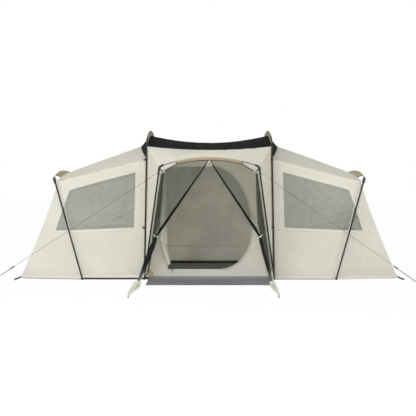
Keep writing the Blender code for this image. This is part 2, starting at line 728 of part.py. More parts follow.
def awning_edge_s(x):
    """Lower edge of the sleeve, then a straight fall to the prong at the corner."""
    end = awning_arch_s(AWNING_SLEEVE_X) - AWNING_FIN
    past = (abs(x) - AWNING_SLEEVE_X) / (PRONG_X - AWNING_SLEEVE_X)
    fall = lerp(end, slope(PRONG_Z), past)
    return float(fall) if past > 0 else awning_arch_s(x) - AWNING_FIN


def build_awning_cloth():
    behind = SLEEVE_CLOTH + 4 * SEAM + 0.55 * CURTAIN_CLOTH
    wall_y = -HALF_DEPTH - HEM
    rows = []
    for t in np.linspace(0, 1, 7):
        row = []
        for u in np.linspace(-1, 1, 15):
            x_wall = u * (bay_x(FRONT_TOP_Z) - 2 * BUTT)
            wall = (x_wall, wall_y, mesh_roof_z(x_wall, HALF_DEPTH) - BUTT)
            x_edge = u * PRONG_X
            edge = awning_point(x_edge, awning_edge_s(x_edge) + 0.010, -behind)
            lift = 0.020 * math.sin(math.pi * t) * (1 - u * u)
            row.append(lerp(wall, edge, t) + (0, 0, lift))
        rows.append(row)
    panel("awning_roof", rows, (0, -0.3, 1), "canvas", CURTAIN_CLOTH)
    for side, word in ((-1, "left"), (1, "right")):
        rows = []
        for t in np.linspace(0, 1, 7):
            z = lerp(FOOT_HEIGHT + 0.025, FRONT_TOP_Z - 0.020, t)
            back = np.array([bay_x(z) - LEG_RADIUS - 0.0025, wall_y, z])
            s = lerp(slope(0.080), slope(PRONG_Z - 0.012), t)
            x_front = min(awning_leg_x(s) - LEG_RADIUS - 0.004, PRONG_X + 0.30)
            x_front = lerp(x_front, PRONG_X + 0.004, max(0.0, (t - 0.8) / 0.2))
            front = awning_point(x_front, s, -LEG_RADIUS - 0.004)
            rows.append([lerp(back, front, u) * (side, 1, 1) for u in (0, 0.5, 1)])
        panel(f"awning_gusset_{word}", rows, (side, 0, 0), "canvas", CURTAIN_CLOTH)


def curtain_top(u):
    """Top edge of a curtain, from the prong at 0 to the middle of the sleeve at 1."""
    x = PRONG_X * (1 - u)
    return np.array([x, awning_edge_s(x) - SEAM])


def curtain_bottom(u):
    s = slope(TIE_Z)
    outer = awning_leg_x(s) - LEG_TAPE
    return np.array([lerp(outer, TIE_X + ROLL_RADIUS, u), s])


def curtain_foot(u):
    s = slope(0.110)
    outer = awning_leg_x(s) - LEG_TAPE
    return np.array([lerp(outer, outer - 0.030, u), s])


def build_curtains():
    columns = CURTAIN_FOLDS * 8 + 1
    apex = np.array([0.010, awning_edge_s(0) - 0.012])
    tie = np.array([TIE_X, slope(TIE_Z)])
    along = (tie - apex) / np.linalg.norm(tie - apex)
    outward = np.array([-along[1], along[0]])
    for side, word in ((-1, "left"), (1, "right")):
        rows = []
        for v in np.concatenate([np.linspace(0, 1, 9), np.linspace(1, 2, 5)[1:]]):
            row = []
            for u in np.linspace(0, 1, columns):
                if v <= 1:
                    place = lerp(curtain_top(u), curtain_bottom(u), v)
                    radius = lerp(ROLL_TOP_RADIUS, ROLL_RADIUS, v)
                    inner = lerp(apex, tie, v) + outward * (radius + 2 * SEAM)
                    place = place + (inner - lerp(curtain_top(1), curtain_bottom(1), v)) * u**8
                else:
                    place = lerp(curtain_bottom(u), curtain_foot(u), v - 1)
                depth = FOLD_DEPTH * (0.15 + 0.85 * min(v, 1)) * (1 - 0.5 * max(v - 1, 0))
                n = depth * (1 - math.cos(2 * math.pi * CURTAIN_FOLDS * u))
                row.append(awning_point(side * place[0], place[1], n))
            rows.append(row)
        front = awning_point(0, 0, 1) - awning_point(0, 0, 0)
        panel(f"curtain_{word}", rows, front, "screen_mesh", CURTAIN_CLOTH)
        build_curtain_roll(side, word, apex, tie)
        build_skirt(side, word)


def curtain_tail(side):
    """The route of a curtain's rolled edge from its tie down to its tip, hanging slack."""
    tie = awning_point(side * TIE_X, slope(TIE_Z))
    tip = np.array([side * TIP_X[side], -HALF_DEPTH - TIP_FORWARD, TIP_Z])
    shares = np.linspace(0, 1, 8)
    return [lerp(tie, tip, t) - (0, 0, TAIL_SLACK * math.sin(math.pi * t)) for t in shares]


def curtain_tip(side):
    """The lower end of the rolled edge and the direction in which it points."""
    before, tip = curtain_tail(side)[-2:]
    return tip, unit(tip - before)


def build_curtain_roll(side, word, apex, tie):
    """The rolled zip edge: thin at the apex, drawn in by the tie, fuller down to its tip."""
    route = []
    radii = []
    for t in np.linspace(0, 1, 9):
        place = lerp(apex, tie, t)
        route.append(awning_point(side * place[0], place[1]))
        radii.append(lerp(ROLL_TOP_RADIUS, ROLL_RADIUS, t))
    tail = curtain_tail(side)
    route += tail[1:]
    for t in np.linspace(0, 1, len(tail))[1:]:
        radii.append(ROLL_RADIUS * (1 + 0.35 * math.sin(math.pi * min(1, t * 1.2))))
    radii[8] = ROLL_RADIUS * 0.8
    swept(f"curtain_roll_{word}", route, radii, "screen_mesh", 10, (0, 1, 1))


def build_skirt(side, word):
    """The hem flap of a curtain, its loop and the head of its peg, on the ground."""
    tip, fall = curtain_tip(side)
    across = unit([-fall[1], fall[0], 0]) * math.copysign(SKIRT_WIDTH * 0.25, -side * fall[1])
    rows = [[tip + fall * 2 * SEAM + across * u for u in (-1, 0, 1)]]
    start = (tip + fall * 0.060)[:2]
    end = np.array([side * SKIRT_END_X[side], -HALF_DEPTH - SKIRT_END_FORWARD])
    peg = np.array([side * PEG_X[side], -HALF_DEPTH - PEG_FORWARD])
    for t in np.linspace(0.02, 1, 11):
        middle = lerp(start, end, t)
        width = SKIRT_WIDTH * (0.45 + 0.55 * math.sin(math.pi * min(1, 0.15 + t * 0.9)))
        lift = SKIRT_LIFT * max(0.0, 1 - t / 0.35) ** 2
        row = []
        for u in (-1, 0, 1):
            z = CLOTH + lift * (1 + 0.25 * u) + 0.004 * (1 - u * u) * math.sin(math.pi * t)
            row.append((middle[0] + u * side * width / 2, middle[1], z))
        rows.append(row)
    for t in (0.5, 1.0):
        middle = lerp(end, peg, t)
        rows.append([(middle[0] + u * 0.006, middle[1], CLOTH) for u in (-side, 0, side)])
    flap = panel(f"skirt_{word}", rows, (0, 0, 1), "canvas")
    head = [(0, 0.004, 0.0045), (0, -0.020, 0.0045), (0, -0.030, 0.020), (0, -0.024, 0.038)]
    route = [np.array(p) + (peg[0], peg[1], 0) for p in head]
    hook = swept(f"skirt_peg_{word}", route, 0.004, "canvas", 8, (1, 0, 0))
    hide_cutter(hook)
    boolean(flap, hook, "UNION")


def build_door():
    route = []
    radii = []
    for t in np.linspace(0, 1, 12):
        z = lerp(DOOR_TOP_Z - 0.020, ROLL_FOOT_Z, t)
        swing = max(0.0, (ROLL_SWING_Z - z) / (ROLL_SWING_Z - ROLL_FOOT_Z))
        radius = ROLL_DOOR_RADIUS * (0.85 + 0.25 * t)
        x = DOOR_LEFT_X - ROLL_BESIDE + ROLL_SWING_X * swing**1.3
        route.append((x, -HALF_DEPTH - radius - SEAM, z))
        radii.append(radius)
    swept("door_roll", route, radii, "canvas", 10, (0, 1, 0))
    body = bmesh.new()
    bmesh.ops.create_cube(body, size=1.0)
    bmesh.ops.scale(body, verts=body.verts, vec=(0.020, 0.008, 0.014))
    bmesh.ops.bevel(body, geom=body.edges[:], offset=0.002, segments=1, affect="EDGES")
    mesh = bpy.data.meshes.new("door_zip_slider")
    body.to_mesh(mesh)
    body.free()
    slider = add_object("door_zip_slider", mesh, "black_plastic")
    slider_y = -HALF_DEPTH - 0.004 - SEAM
    slider.location = (SLIDER_START_X, slider_y, DOOR_SILL_Z - 0.010)
    pull = [(0, -0.003, 0.0), (0, -0.006, -0.012), (0, -0.0045, -0.045)]
    place = np.array(slider.location)
    tab = swept("pull_tab", [place + p for p in pull], 0.003, "black_plastic", 8, (1, 0, 0), 0.6)
    hide_cutter(tab)
    boolean(slider, tab, "UNION")


def guy_ends(side):
    s = slope(GUY_RING_Z)
    knot = awning_point(side * awning_leg_x(s), s)
    peg = np.array([side * GUY_PEG_X[side], -HALF_DEPTH - GUY_PEG_FORWARD, GUY_FOOT_Z])
    along = unit(peg - knot)
    return knot + along * (LEG_RADIUS + LEG_SWAGE + GUY_STANDOFF), peg, along


def build_guy_lines():
    for side, word in ((-1, "left"), (1, "right")):
        top, peg, along = guy_ends(side)
        level = math.hypot(along[0], along[1])
        reach = PEG_WIRE + SEAM + CORD_DIAMETER / 2 * abs(along[2])
        foot = peg - along * reach / level
        tube(f"guy_line_{word}", [lerp(top, foot, t) for t in np.linspace(0, 1, 9)],
             CORD_DIAMETER / 2, "cord")
        middle = lerp(peg, top, ADJUSTER_SHARE)
        ends = [middle - along * ADJUSTER_LENGTH / 2, middle + along * ADJUSTER_LENGTH / 2]
        runner = swept(f"guy_adjuster_{word}", [ends[0], middle, ends[1]],
                       [0.007, 0.009, 0.007], "black_plastic", 10)
        bore = swept(f"adjuster_bore_{word}", [ends[0] - along * 0.01, middle,
                     ends[1] + along * 0.01], CORD_DIAMETER / 2 + 0.0008, "black_plastic", 10)
        hide_cutter(bore)
        boolean(runner, bore, "DIFFERENCE")
        out = unit([along[0], along[1], 0])
        hook = [(0, -GUY_FOOT_Z + 0.001), (0, 0.022), (0.004, 0.034), (0.015, 0.040), (0.030, 0.030)]
        hook = [peg + out * x + (0, 0, z) for x, z in hook]
        swept(f"guy_peg_{word}", hook, PEG_WIRE, "steel", 8, out)


def build_corner_pegs():
    for side, word in ((-1, "left"), (1, "right")):
        corner_x = HALF_LENGTH + 0.006 + SEAM
        corner = np.array([side * corner_x, -HALF_DEPTH + CORNER_SETBACK, 0.020])
        peg = np.array([side * CORNER_PEG_X, -HALF_DEPTH - CORNER_PEG_FORWARD, 0.012])
        route = [lerp(corner, peg, t) for t in (0, 0.5, 0.9, 1.0)]
        radii = [0.006, 0.006, 0.007, 0.011]
        swept(f"corner_peg_{word}", route, radii, "black_plastic", 8, (1, 0, 0))


build_walls()
build_ends_and_roofs()
build_floors()
build_centre_hoops()
build_wing_hoops()
build_awning_hoop()
build_awning_cloth()
build_curtains()
build_door()
build_guy_lines()
build_corner_pegs()
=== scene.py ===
"""The look of a cream cabin tent with two wings, a mesh roof and a leaning mesh-curtained porch."""

import math

import bpy
import numpy as np
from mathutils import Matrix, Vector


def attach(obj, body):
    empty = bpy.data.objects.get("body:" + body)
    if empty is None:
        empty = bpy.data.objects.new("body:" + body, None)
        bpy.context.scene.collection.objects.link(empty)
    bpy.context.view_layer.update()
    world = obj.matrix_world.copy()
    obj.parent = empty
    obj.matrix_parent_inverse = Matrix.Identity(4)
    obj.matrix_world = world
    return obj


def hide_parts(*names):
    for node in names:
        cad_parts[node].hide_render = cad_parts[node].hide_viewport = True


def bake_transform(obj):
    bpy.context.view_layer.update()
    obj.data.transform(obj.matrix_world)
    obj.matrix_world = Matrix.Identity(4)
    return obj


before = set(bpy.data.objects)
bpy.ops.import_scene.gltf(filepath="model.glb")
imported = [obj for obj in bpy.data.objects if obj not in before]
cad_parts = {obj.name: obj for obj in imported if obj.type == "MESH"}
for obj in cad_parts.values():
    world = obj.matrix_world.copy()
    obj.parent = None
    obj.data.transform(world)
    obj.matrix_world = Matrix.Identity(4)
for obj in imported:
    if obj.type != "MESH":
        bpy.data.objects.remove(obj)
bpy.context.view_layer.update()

# The ground, the air and the light. The tent stands on a plain white floor in soft, even light
# that comes a little more from the left and above. The camera stands 21 m in front of the door,
# a little above eye height, so that both wings show almost square on.
EYE, LOOK_DOWN = (0.0, -22.525, 1.91), 60 / 1449
SENSOR, LENS, SIDE_SHIFT, FAR_CLIP = 36.0, 125.4, -0.0031, 200.0
AIR_STRENGTH = 0.67
GROUND_SIZE, GROUND_Z, GROUND_GREY, GROUND_WHITENESS = 60.0, -0.004, 0.92, 0.95
LAMPS = (("key_light", (-7.0, -9.0, 8.0), 0.8, 7.0, 500.0),
         ("fill_light", (8.0, -10.0, 5.0), 0.8, 8.0, 175.0),
         ("front_light", (-1.5, -14.0, 2.0), 1.0, 5.0, 430.0))

camera = bpy.data.cameras.new("camera")
camera.sensor_width = SENSOR
camera.lens = LENS
camera.shift_x = SIDE_SHIFT
camera.clip_end = FAR_CLIP
eye = bpy.data.objects.new("camera", camera)
eye.location = EYE
eye.rotation_euler = (math.pi / 2 - math.atan(LOOK_DOWN), 0.0, 0.0)
bpy.context.scene.collection.objects.link(eye)
bpy.context.scene.camera = eye
bpy.context.scene.view_settings.view_transform = "Standard"


def add_node(tree, kind, inputs=(), **settings):
    """A shader node with these settings; an input is a number or another node's output."""
    made = tree.nodes.new(kind)
    for key, value in settings.items():
        setattr(made, key, value)
    for socket, value in dict(inputs).items():
        if isinstance(value, bpy.types.NodeSocket):
            tree.links.new(value, made.inputs[socket])
        else:
            made.inputs[socket].default_value = value
    return made


def reckon(tree, operation, *values):
    """The result of one step of arithmetic on numbers and other nodes' outputs."""
    return add_node(tree, "ShaderNodeMath", dict(enumerate(values)), operation=operation).outputs[0]


def finish(name, colour, roughness, metallic=0.0, specular=0.5):
    """A Principled material with its colour, roughness and metal on the shader itself."""
    made = bpy.data.materials.new(name)
    made.use_nodes = True
    shader = made.node_tree.nodes["Principled BSDF"]
    shader.inputs["Base Color"].default_value = (*colour, 1.0)
    shader.inputs["Roughness"].default_value = roughness
    shader.inputs["Metallic"].default_value = metallic
    shader.inputs["Specular IOR Level"].default_value = specular
    return made


def white_to_the_eye(tree, surface, output, kind, share=1.0):
    """The surface as lit, but this much plain white to camera, mirror and glass rays."""
    ray = add_node(tree, "ShaderNodeLightPath").outputs
    seen = reckon(tree, "MAXIMUM", ray["Is Camera Ray"], ray["Is Glossy Ray"])
    seen = reckon(tree, "MAXIMUM", seen, ray["Is Transmission Ray"])
    if share < 1.0:
        seen = reckon(tree, "MULTIPLY", seen, share)
    white = add_node(tree, kind, {"Color": (1.0, 1.0, 1.0, 1.0), "Strength": 1.0})
    mix = add_node(tree, "ShaderNodeMixShader", {0: seen, 1: surface, 2: white.outputs[0]})
    tree.links.new(mix.outputs[0], output.inputs["Surface"])


world = bpy.data.worlds.new("sky")
world.use_nodes = True
air = world.node_tree
air.nodes["Background"].inputs["Color"].default_value = (1.0, 1.0, 1.0, 1.0)
air.nodes["Background"].inputs["Strength"].default_value = AIR_STRENGTH
white_to_the_eye(air, air.nodes["Background"].outputs[0], air.nodes["World Output"],
                 "ShaderNodeBackground")
bpy.context.scene.world = world

bpy.ops.mesh.primitive_plane_add(size=GROUND_SIZE, location=(0, 0, GROUND_Z))
ground = bpy.context.object
ground.name = "ground"
paving = finish("ground_white", [GROUND_GREY] * 3, 0.9, specular=0.1)
laid = paving.node_tree
white_to_the_eye(laid, laid.nodes["Principled BSDF"].outputs[0], laid.nodes["Material Output"],
                 "ShaderNodeEmission", GROUND_WHITENESS)
ground.data.materials.append(paving)

for label, place, aim_z, size, power in LAMPS:
    lamp = bpy.data.lights.new(label, "AREA")
    lamp.size = size
    lamp.energy = power
    lit = bpy.data.objects.new(label, lamp)
    lit.location = place
    away = Vector(place) - Vector((0.0, 0.0, aim_z))
    lit.rotation_euler = away.to_track_quat("Z", "Y").to_euler()
    bpy.context.scene.collection.objects.link(lit)

# The two guy lines. Each is a 5 mm braided cord, hitched round the porch hoop's leg under its
# corner socket, run taut through a moulded runner and round a wire peg, with its end doubled
# back from the peg to the runner.
HALF_DEPTH = 1.525
LEG_RADIUS = 0.0115
PIVOT_Y, PIVOT_Z = -1.5865, 0.020
LEAN, LEAN_BACK = math.radians(29.5), math.radians(26)
BAY_FOOT_X, BAY_TOP_X, FRONT_TOP_Z = 0.942, 0.905, 1.931
AWNING_ELBOW_X, AWNING_ELBOW_Z, AWNING_TOP_Z = 0.688, 1.655, 1.779
GUY_RING_Z, GUY_FOOT_Z = 1.575, 0.030
GUY_PEG = {-1: (3.070, -3.275), 1: (2.900, -3.275)}
CORD_WIDTH, CORD_TIGHT, HITCH_TURNS, HITCH_HEIGHT, EYE_RADIUS = 0.005, 0.0024, 3, 0.016, 0.0068
HITCH_REACH, EYE_REACH = 0.0043, 0.0065
PAST_RUNNER, UNDER_RUNNER, BEFORE_EYE, UNDER_EYE = 0.034, 0.0075, 0.030, 0.0055
TOP_STOP = 0.66
SIDES = ((-1, "left"), (1, "right"))


def unit(vector):
    """The vector, or each row of vectors, divided by its own length."""
    vector = np.asarray(vector, float)
    return vector / np.linalg.norm(vector, axis=-1, keepdims=True)


def lerp(a, b, t):
    """Straight from a at 0 to b at 1."""
    return np.asarray(a, float) + (np.asarray(b, float) - np.asarray(a, float)) * t


def points_at(*coordinates):
    """Points from their coordinates, each an array or a number that all of the points share."""
    return np.stack(np.broadcast_arrays(*coordinates), -1)


def ellipse(angle, first, second):
    """Points at these angles round an ellipse about 0, from its two half axes."""
    return np.outer(np.cos(angle), first) + np.outer(np.sin(angle), second)


def awning_point(x, s, n=0.0):
    """A point of the leaning porch plane: x across, s up its slope, n out of its face."""
    return points_at(x, PIVOT_Y - s * math.sin(LEAN) - n * math.cos(LEAN),
                     PIVOT_Z + s * math.cos(LEAN) - n * math.sin(LEAN))


def slope(z):
    """Distance up the porch plane for a height above the ground."""
    return (z - PIVOT_Z) / math.cos(LEAN)


def awning_leg_x(s):
    """How far out the porch leg is: it leans in, straight, from its foot to its elbow."""
    return BAY_FOOT_X + (AWNING_ELBOW_X - BAY_FOOT_X) * s / slope(AWNING_ELBOW_Z)


def shape(name, rows, closed=False, outward=None, wrap=False, hole=None, spread=None):
    """A mesh over a grid of points. Each quad joins two neighbours in a row with the two below
    them. The UV map runs in metres along the rows and down them, unless spread gives it. A
    wrapped grid joins each row's end to its start, and a closed one is capped as well. hole
    gives the first and last row and column of the quads that are left out. Faces are turned
    outward, or where the grid is closed, so that its volume is positive."""
    rows = np.asarray(rows, float)
    down, across = rows.shape[:2]
    real = np.arange(down * across).reshape(down, across)
    whole = rows
    if closed or wrap:
        real = np.concatenate([real, real[:, :1]], 1)
        whole = np.concatenate([rows, rows[:, :1]], 1)
    unrolled = np.arange(whole.shape[0] * whole.shape[1]).reshape(whole.shape[:2])

    def quads(grid):
        found = np.stack([grid[:-1, :-1], grid[:-1, 1:], grid[1:, 1:], grid[1:, :-1]], -1)
        kept = np.ones(found.shape[:2], bool)
        if hole:
            kept[hole[0]:hole[1], hole[2]:hole[3]] = False
        return found[kept]

    faces, corners = quads(real), quads(unrolled)
    points = rows.reshape(-1, 3)
    spot = points[faces]
    normal = np.cross(spot[:, 2] - spot[:, 0], spot[:, 3] - spot[:, 1])
    if closed:
        inside_out = ((spot.mean(1) - points.mean(0)) * normal).sum() < 0
    else:
        inside_out = (normal * np.asarray(outward, float)).sum() < 0
    if inside_out:
        faces, corners = faces[:, ::-1], corners[:, ::-1]
    listed = faces.tolist()
    if closed:
        ends = [real[0, :-1], real[-1, :-1][::-1]]
        listed += [(end if inside_out else end[::-1]).tolist() for end in ends]
    mesh = bpy.data.meshes.new(name)
    mesh.from_pydata(points.tolist(), [], listed)
    if spread is None:
        run = np.linalg.norm(np.diff(whole, axis=1), axis=2)
        fall = np.linalg.norm(np.diff(whole, axis=0), axis=2)
        spread = np.stack([np.pad(np.cumsum(run, 1), ((0, 0), (1, 0))),
                           np.pad(np.cumsum(fall, 0), ((1, 0), (0, 0)))], -1)
    layer = np.zeros((len(mesh.loops), 2), np.float32)
    layer[: corners.size] = np.asarray(spread, float).reshape(-1, 2)[corners.reshape(-1)]
    mesh.uv_layers.new(name="cloth").data.foreach_set("uv", layer.ravel())
    mesh.shade_smooth()
    made = bpy.data.objects.new(name, mesh)
    bpy.context.scene.collection.objects.link(made)
    return made


def square_to(route, hint):
    """Two unit vectors square to a route at each of its points, the first as near as can be to
    the hint, and the second square to it."""
    along = unit(np.gradient(route, axis=0))
    hint = np.broadcast_to(np.asarray(hint, float), route.shape)
    first = unit(hint - along * (hint * along).sum(1, keepdims=True))
    return first, np.cross(along, first)


def carried(route, first, second, a, b):
    """A profile carried along a route: from each point of it, a along the first vector there and
    b along the second."""
    return route[:, None] + a[..., None] * first[:, None] + b[..., None] * second[:, None]


def tube(name, route, radii, sides=16, hint=(0.0, 0.0, 1.0), flat=1.0):
    """A solid round piece, capped at both ends: a circle, of the radius at each point and
    flattened by flat, carried along a route."""
    route = np.asarray(route, float)
    turn = np.arange(sides) * 2 * math.pi / sides
    radii = np.broadcast_to(np.asarray(radii, float), len(route))[:, None]
    rows = carried(route, *square_to(route, hint), radii * np.cos(turn), radii * flat * np.sin(turn))
    return shape(name, rows, closed=True)


def dressed(made, material, body=None, node=None):
    """The piece with its finish, the body it rides on, and the solid that it stands for."""
    made.data.materials.append(material)
    if body:
        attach(made, body)
    if node:
        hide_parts(*([node] if isinstance(node, str) else node))
    return made


def feed(made, name, output):
    """Joins a node's output to the socket of this name on the finish's shader."""
    made.node_tree.links.new(output, made.node_tree.nodes["Principled BSDF"].inputs[name])


def own_map(tree, along=1.0, across=1.0, kind="UV"):
    """The piece's own UV or object coordinates, multiplied by these numbers."""
    source = add_node(tree, "ShaderNodeTexCoord")
    return add_node(tree, "ShaderNodeMapping", {"Vector": source.outputs[kind],
                    "Scale": (along, across, along)}).outputs[0]


def mixed(tree, low, high, factor):
    """The colour from low to high at a factor between 0 and 1; each is three numbers or a node's
    output."""
    ends = [end if isinstance(end, bpy.types.NodeSocket) else (*end, 1.0) for end in (low, high)]
    return add_node(tree, "ShaderNodeMix", {"Factor": factor, "A": ends[0], "B": ends[1]},
                    data_type="RGBA").outputs["Result"]


def two_tone(made, low, high, factor):
    """The finish's colour, from low to high by a factor between 0 and 1."""
    feed(made, "Base Color", mixed(made.node_tree, low, high, factor))


def raised(made, height, distance, strength=1.0, before=None):
    """A bump of this height in metres, over an earlier bump if there is one."""
    inputs = {"Height": height, "Distance": distance, "Strength": strength}
    if before is not None:
        inputs["Normal"] = before
    bump = add_node(made.node_tree, "ShaderNodeBump", inputs)
    feed(made, "Normal", bump.outputs[0])
    return bump.outputs[0]


def follow(made, low, high, share):
    """Reads each point of the piece and works out its share of the way from low at 0 to high at 1,
    from these shares, evenly spaced between them; nothing is done with the result."""
    spots = np.zeros(3 * len(made.data.vertices))
    made.data.vertices.foreach_get("co", spots)
    along = np.subtract(high, low)
    place = (spots.reshape(-1, 3) - low) @ along / (along @ along)
    share = np.interp(place, np.linspace(0, 1, len(share)), share).astype(np.float32)


def straight_share(low, high):
    """The shares at which a line from low to high is still nearest to straight when the hoop leans
    back by its full 26 degrees: for each point, the least squares fit of its own move and the
    line's to the point's distance along it."""
    turn = -LEAN_BACK
    lean = np.array([(1, 0, 0), (0, math.cos(turn), -math.sin(turn)),
                     (0, math.sin(turn), math.cos(turn))])
    line = lerp(np.asarray(low), np.asarray(high), np.linspace(0, 1, 101)[:, None])
    move = (line - (0, PIVOT_Y, PIVOT_Z)) @ (lean - np.eye(3)).T
    goal = move[-1] + line[-1] - line[0]
    share = [np.linalg.lstsq(np.stack([d, -goal], 1), line[0] - p, rcond=None)[0][0]
             for p, d in zip(line, move)]
    return np.clip(share, 0, 1)


cord_finish = finish("cord_grey", (0.11, 0.12, 0.10), 0.8)
strands = add_node(cord_finish.node_tree, "ShaderNodeTexWave",
                   {"Vector": own_map(cord_finish.node_tree, 1.0, 0.35), "Scale": 120.0},
                   bands_direction="DIAGONAL").outputs["Fac"]
two_tone(cord_finish, (0.07, 0.075, 0.065), (0.16, 0.17, 0.14), strands)
raised(cord_finish, strands, 0.0006)

for side, word in SIDES:
    s = slope(GUY_RING_Z)
    knot = awning_point(side * awning_leg_x(s), s)
    peg = np.array([side * GUY_PEG[side][0], GUY_PEG[side][1], GUY_FOOT_Z])
    along = unit(peg - knot)
    start = knot + along * (LEG_RADIUS + HITCH_REACH)
    foot = peg - along * EYE_REACH
    line = lerp(start, foot, np.linspace(0, 1, 60)[:, None])
    cord = dressed(tube(f"guy_cord_{word}", line, CORD_WIDTH / 2, sides=10), cord_finish,
                   node=f"guy_line_{word}")
    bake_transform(cord)

    turns = np.linspace(0, HITCH_TURNS * 2 * math.pi, 90)
    up = unit(awning_point(0, 1.0) - awning_point(0, 0.0))
    aside = unit(np.cross(up, (0, 1, 0)))
    level = np.cross(aside, up)
    wrap = knot + ellipse(turns, aside, level) * (LEG_RADIUS + 2 * CORD_TIGHT)
    wrap = wrap + np.outer(turns / turns[-1] - 0.5, up) * HITCH_HEIGHT
    hitch = dressed(tube(f"guy_hitch_{word}", wrap, CORD_TIGHT, sides=8, hint=up), cord_finish,
                    body="awning")
    bend = np.linspace(0, 2 * math.pi, 40, endpoint=False)
    out = unit([along[0], along[1], 0])
    ring = peg + ellipse(bend, out * EYE_RADIUS + (0, 0, 0.002),
                         np.cross((0, 0, 1), out) * EYE_RADIUS)
    loop = dressed(tube(f"guy_loop_{word}", ring, CORD_TIGHT, sides=8), cord_finish, body="tent")

    shell = bpy.data.objects[f"guy_adjuster_{word}"]
    runner = np.mean([shell.matrix_world @ Vector(spot) for spot in shell.bound_box], axis=0)
    top_stop = runner - along * TOP_STOP
    follow(cord, top_stop, knot, straight_share(top_stop, knot))
    back = lerp(runner + along * PAST_RUNNER - (0, 0, UNDER_RUNNER),
                foot - along * BEFORE_EYE - (0, 0, UNDER_EYE), np.linspace(0, 1, 40)[:, None])
    double = dressed(tube(f"guy_double_{word}", back, CORD_WIDTH / 2, sides=10), cord_finish)
    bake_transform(double)

# The groundsheet. A tray of woven polyethylene: a grey floor panel, and a black edge strip that is
# welded to it and turned up 35 mm all round, to which the walls are sewn.
HALF_LENGTH = 2.75
CORNER_SETBACK = 0.20
FOLD_FOOT_X = 1.810
LIP_HEIGHT, SHEETING = 0.035, 0.0012
WAVE_SPAN = 0.314


def relief(a, b, seed, depth, folds, size, length, width, toward=None):
    """Soft creases in cloth: a sum of long ripples, each a cosine across its own direction
    inside a bell-shaped patch, with seeded places, directions and widths. Patches aim at the
    point toward if there is one."""
    draw = np.random.default_rng(seed)
    a, b = np.broadcast_arrays(np.asarray(a, float), np.asarray(b, float))
    centre = draw.uniform(-0.5, 0.5, (folds, 2)) * size
    heading = draw.uniform(0, math.pi, folds)
    if toward is not None:
        way = np.asarray(toward, float) - centre
        heading = np.arctan2(way[:, 1], way[:, 0]) + draw.normal(0, 0.12, folds)
    long = length * draw.uniform(0.5, 1.2, folds)
    narrow = width * draw.uniform(0.5, 1.3, folds)
    high = depth * draw.uniform(0.4, 1.0, folds)
    phase = draw.uniform(0, 2 * math.pi, folds)
    da, db = a[..., None] - centre[:, 0], b[..., None] - centre[:, 1]
    along = da * np.cos(heading) + db * np.sin(heading)
    across = db * np.cos(heading) - da * np.sin(heading)
    bell = np.exp(-(along / long) ** 2 - (across / (1.6 * narrow)) ** 2)
    return (high * bell * np.cos(2 * math.pi * across / narrow + phase)).sum(-1)


def held_at_edges(t, run=0.12):
    """0 at both ends of 0 to 1, rising smoothly to 1 within the run."""
    near = np.clip(np.minimum(t, 1 - np.asarray(t)) / run, 0, 1)
    return near * near * (3 - 2 * near)


def ribs(tree, pitch, way="X"):
    """Ridges across the piece's own map, a pitch apart. A wave of scale 1 repeats every
    WAVE_SPAN."""
    return add_node(tree, "ShaderNodeTexWave", {"Vector": own_map(tree), "Scale": WAVE_SPAN / pitch},
                    bands_direction=way).outputs["Fac"]


def crossed(tree, pitch):
    """Threads both ways: the higher of two sets of ridges that cross."""
    return reckon(tree, "MAXIMUM", ribs(tree, pitch), ribs(tree, pitch, "Y"))


def patches(tree, scale, detail=2.0, roughness=0.5, distortion=0.0, along=1.0, across=1.0):
    """Soft random patches over the piece, between 0 and 1."""
    return add_node(tree, "ShaderNodeTexNoise",
                    {"Vector": own_map(tree, along, across, "Object"), "Scale": scale,
                     "Detail": detail, "Roughness": roughness, "Distortion": distortion}
                    ).outputs["Fac"]


def ranged(tree, value, low, high, start=0.0, stop=1.0):
    """Low where the value is start and high where it is stop, straight between."""
    return add_node(tree, "ShaderNodeMapRange", {"Value": value, "From Min": start,
                    "From Max": stop, "To Min": low, "To Max": high}).outputs[0]


def weave_bump(made, pitch=0.0022, height=0.00012, crease=0.0016, crease_scale=7.0):
    """Plain weave as two crossed waves on the cloth's own map in metres, over soft creases."""
    tree = made.node_tree
    first = raised(made, patches(tree, crease_scale, 3.0, 0.5, 0.6), crease)
    raised(made, crossed(tree, pitch), height, 0.6, first)


def sheeting(name, dark, pale):
    """Woven polyethylene: tapes 6 mm wide under a thin glossy coat, scuffed in patches."""
    made = finish(name, pale, 0.5)
    weave_bump(made, pitch=0.006, height=0.00025, crease=0.004, crease_scale=5.0)
    scuff = patches(made.node_tree, 4.0, 5.0, roughness=0.6, along=0.4, across=3.0)
    two_tone(made, dark, pale, scuff)
    feed(made, "Roughness", ranged(made.node_tree, scuff, 0.42, 0.68))
    return made


def thick(made, thickness):
    """A wall of this thickness, inward from the face that was made."""
    shell = made.modifiers.new("thickness", "SOLIDIFY")
    shell.thickness = thickness
    shell.offset = -1.0
    return made


def sheet_of(made):
    """Reads the areas of the piece's faces and the reach of its own map in metres, and gives the
    piece back as it was."""
    mesh = made.data
    area = np.zeros(len(mesh.polygons))
    mesh.polygons.foreach_get("area", area)
    spread = np.zeros(2 * len(mesh.loops))
    mesh.uv_layers["cloth"].data.foreach_get("uv", spread)
    return made


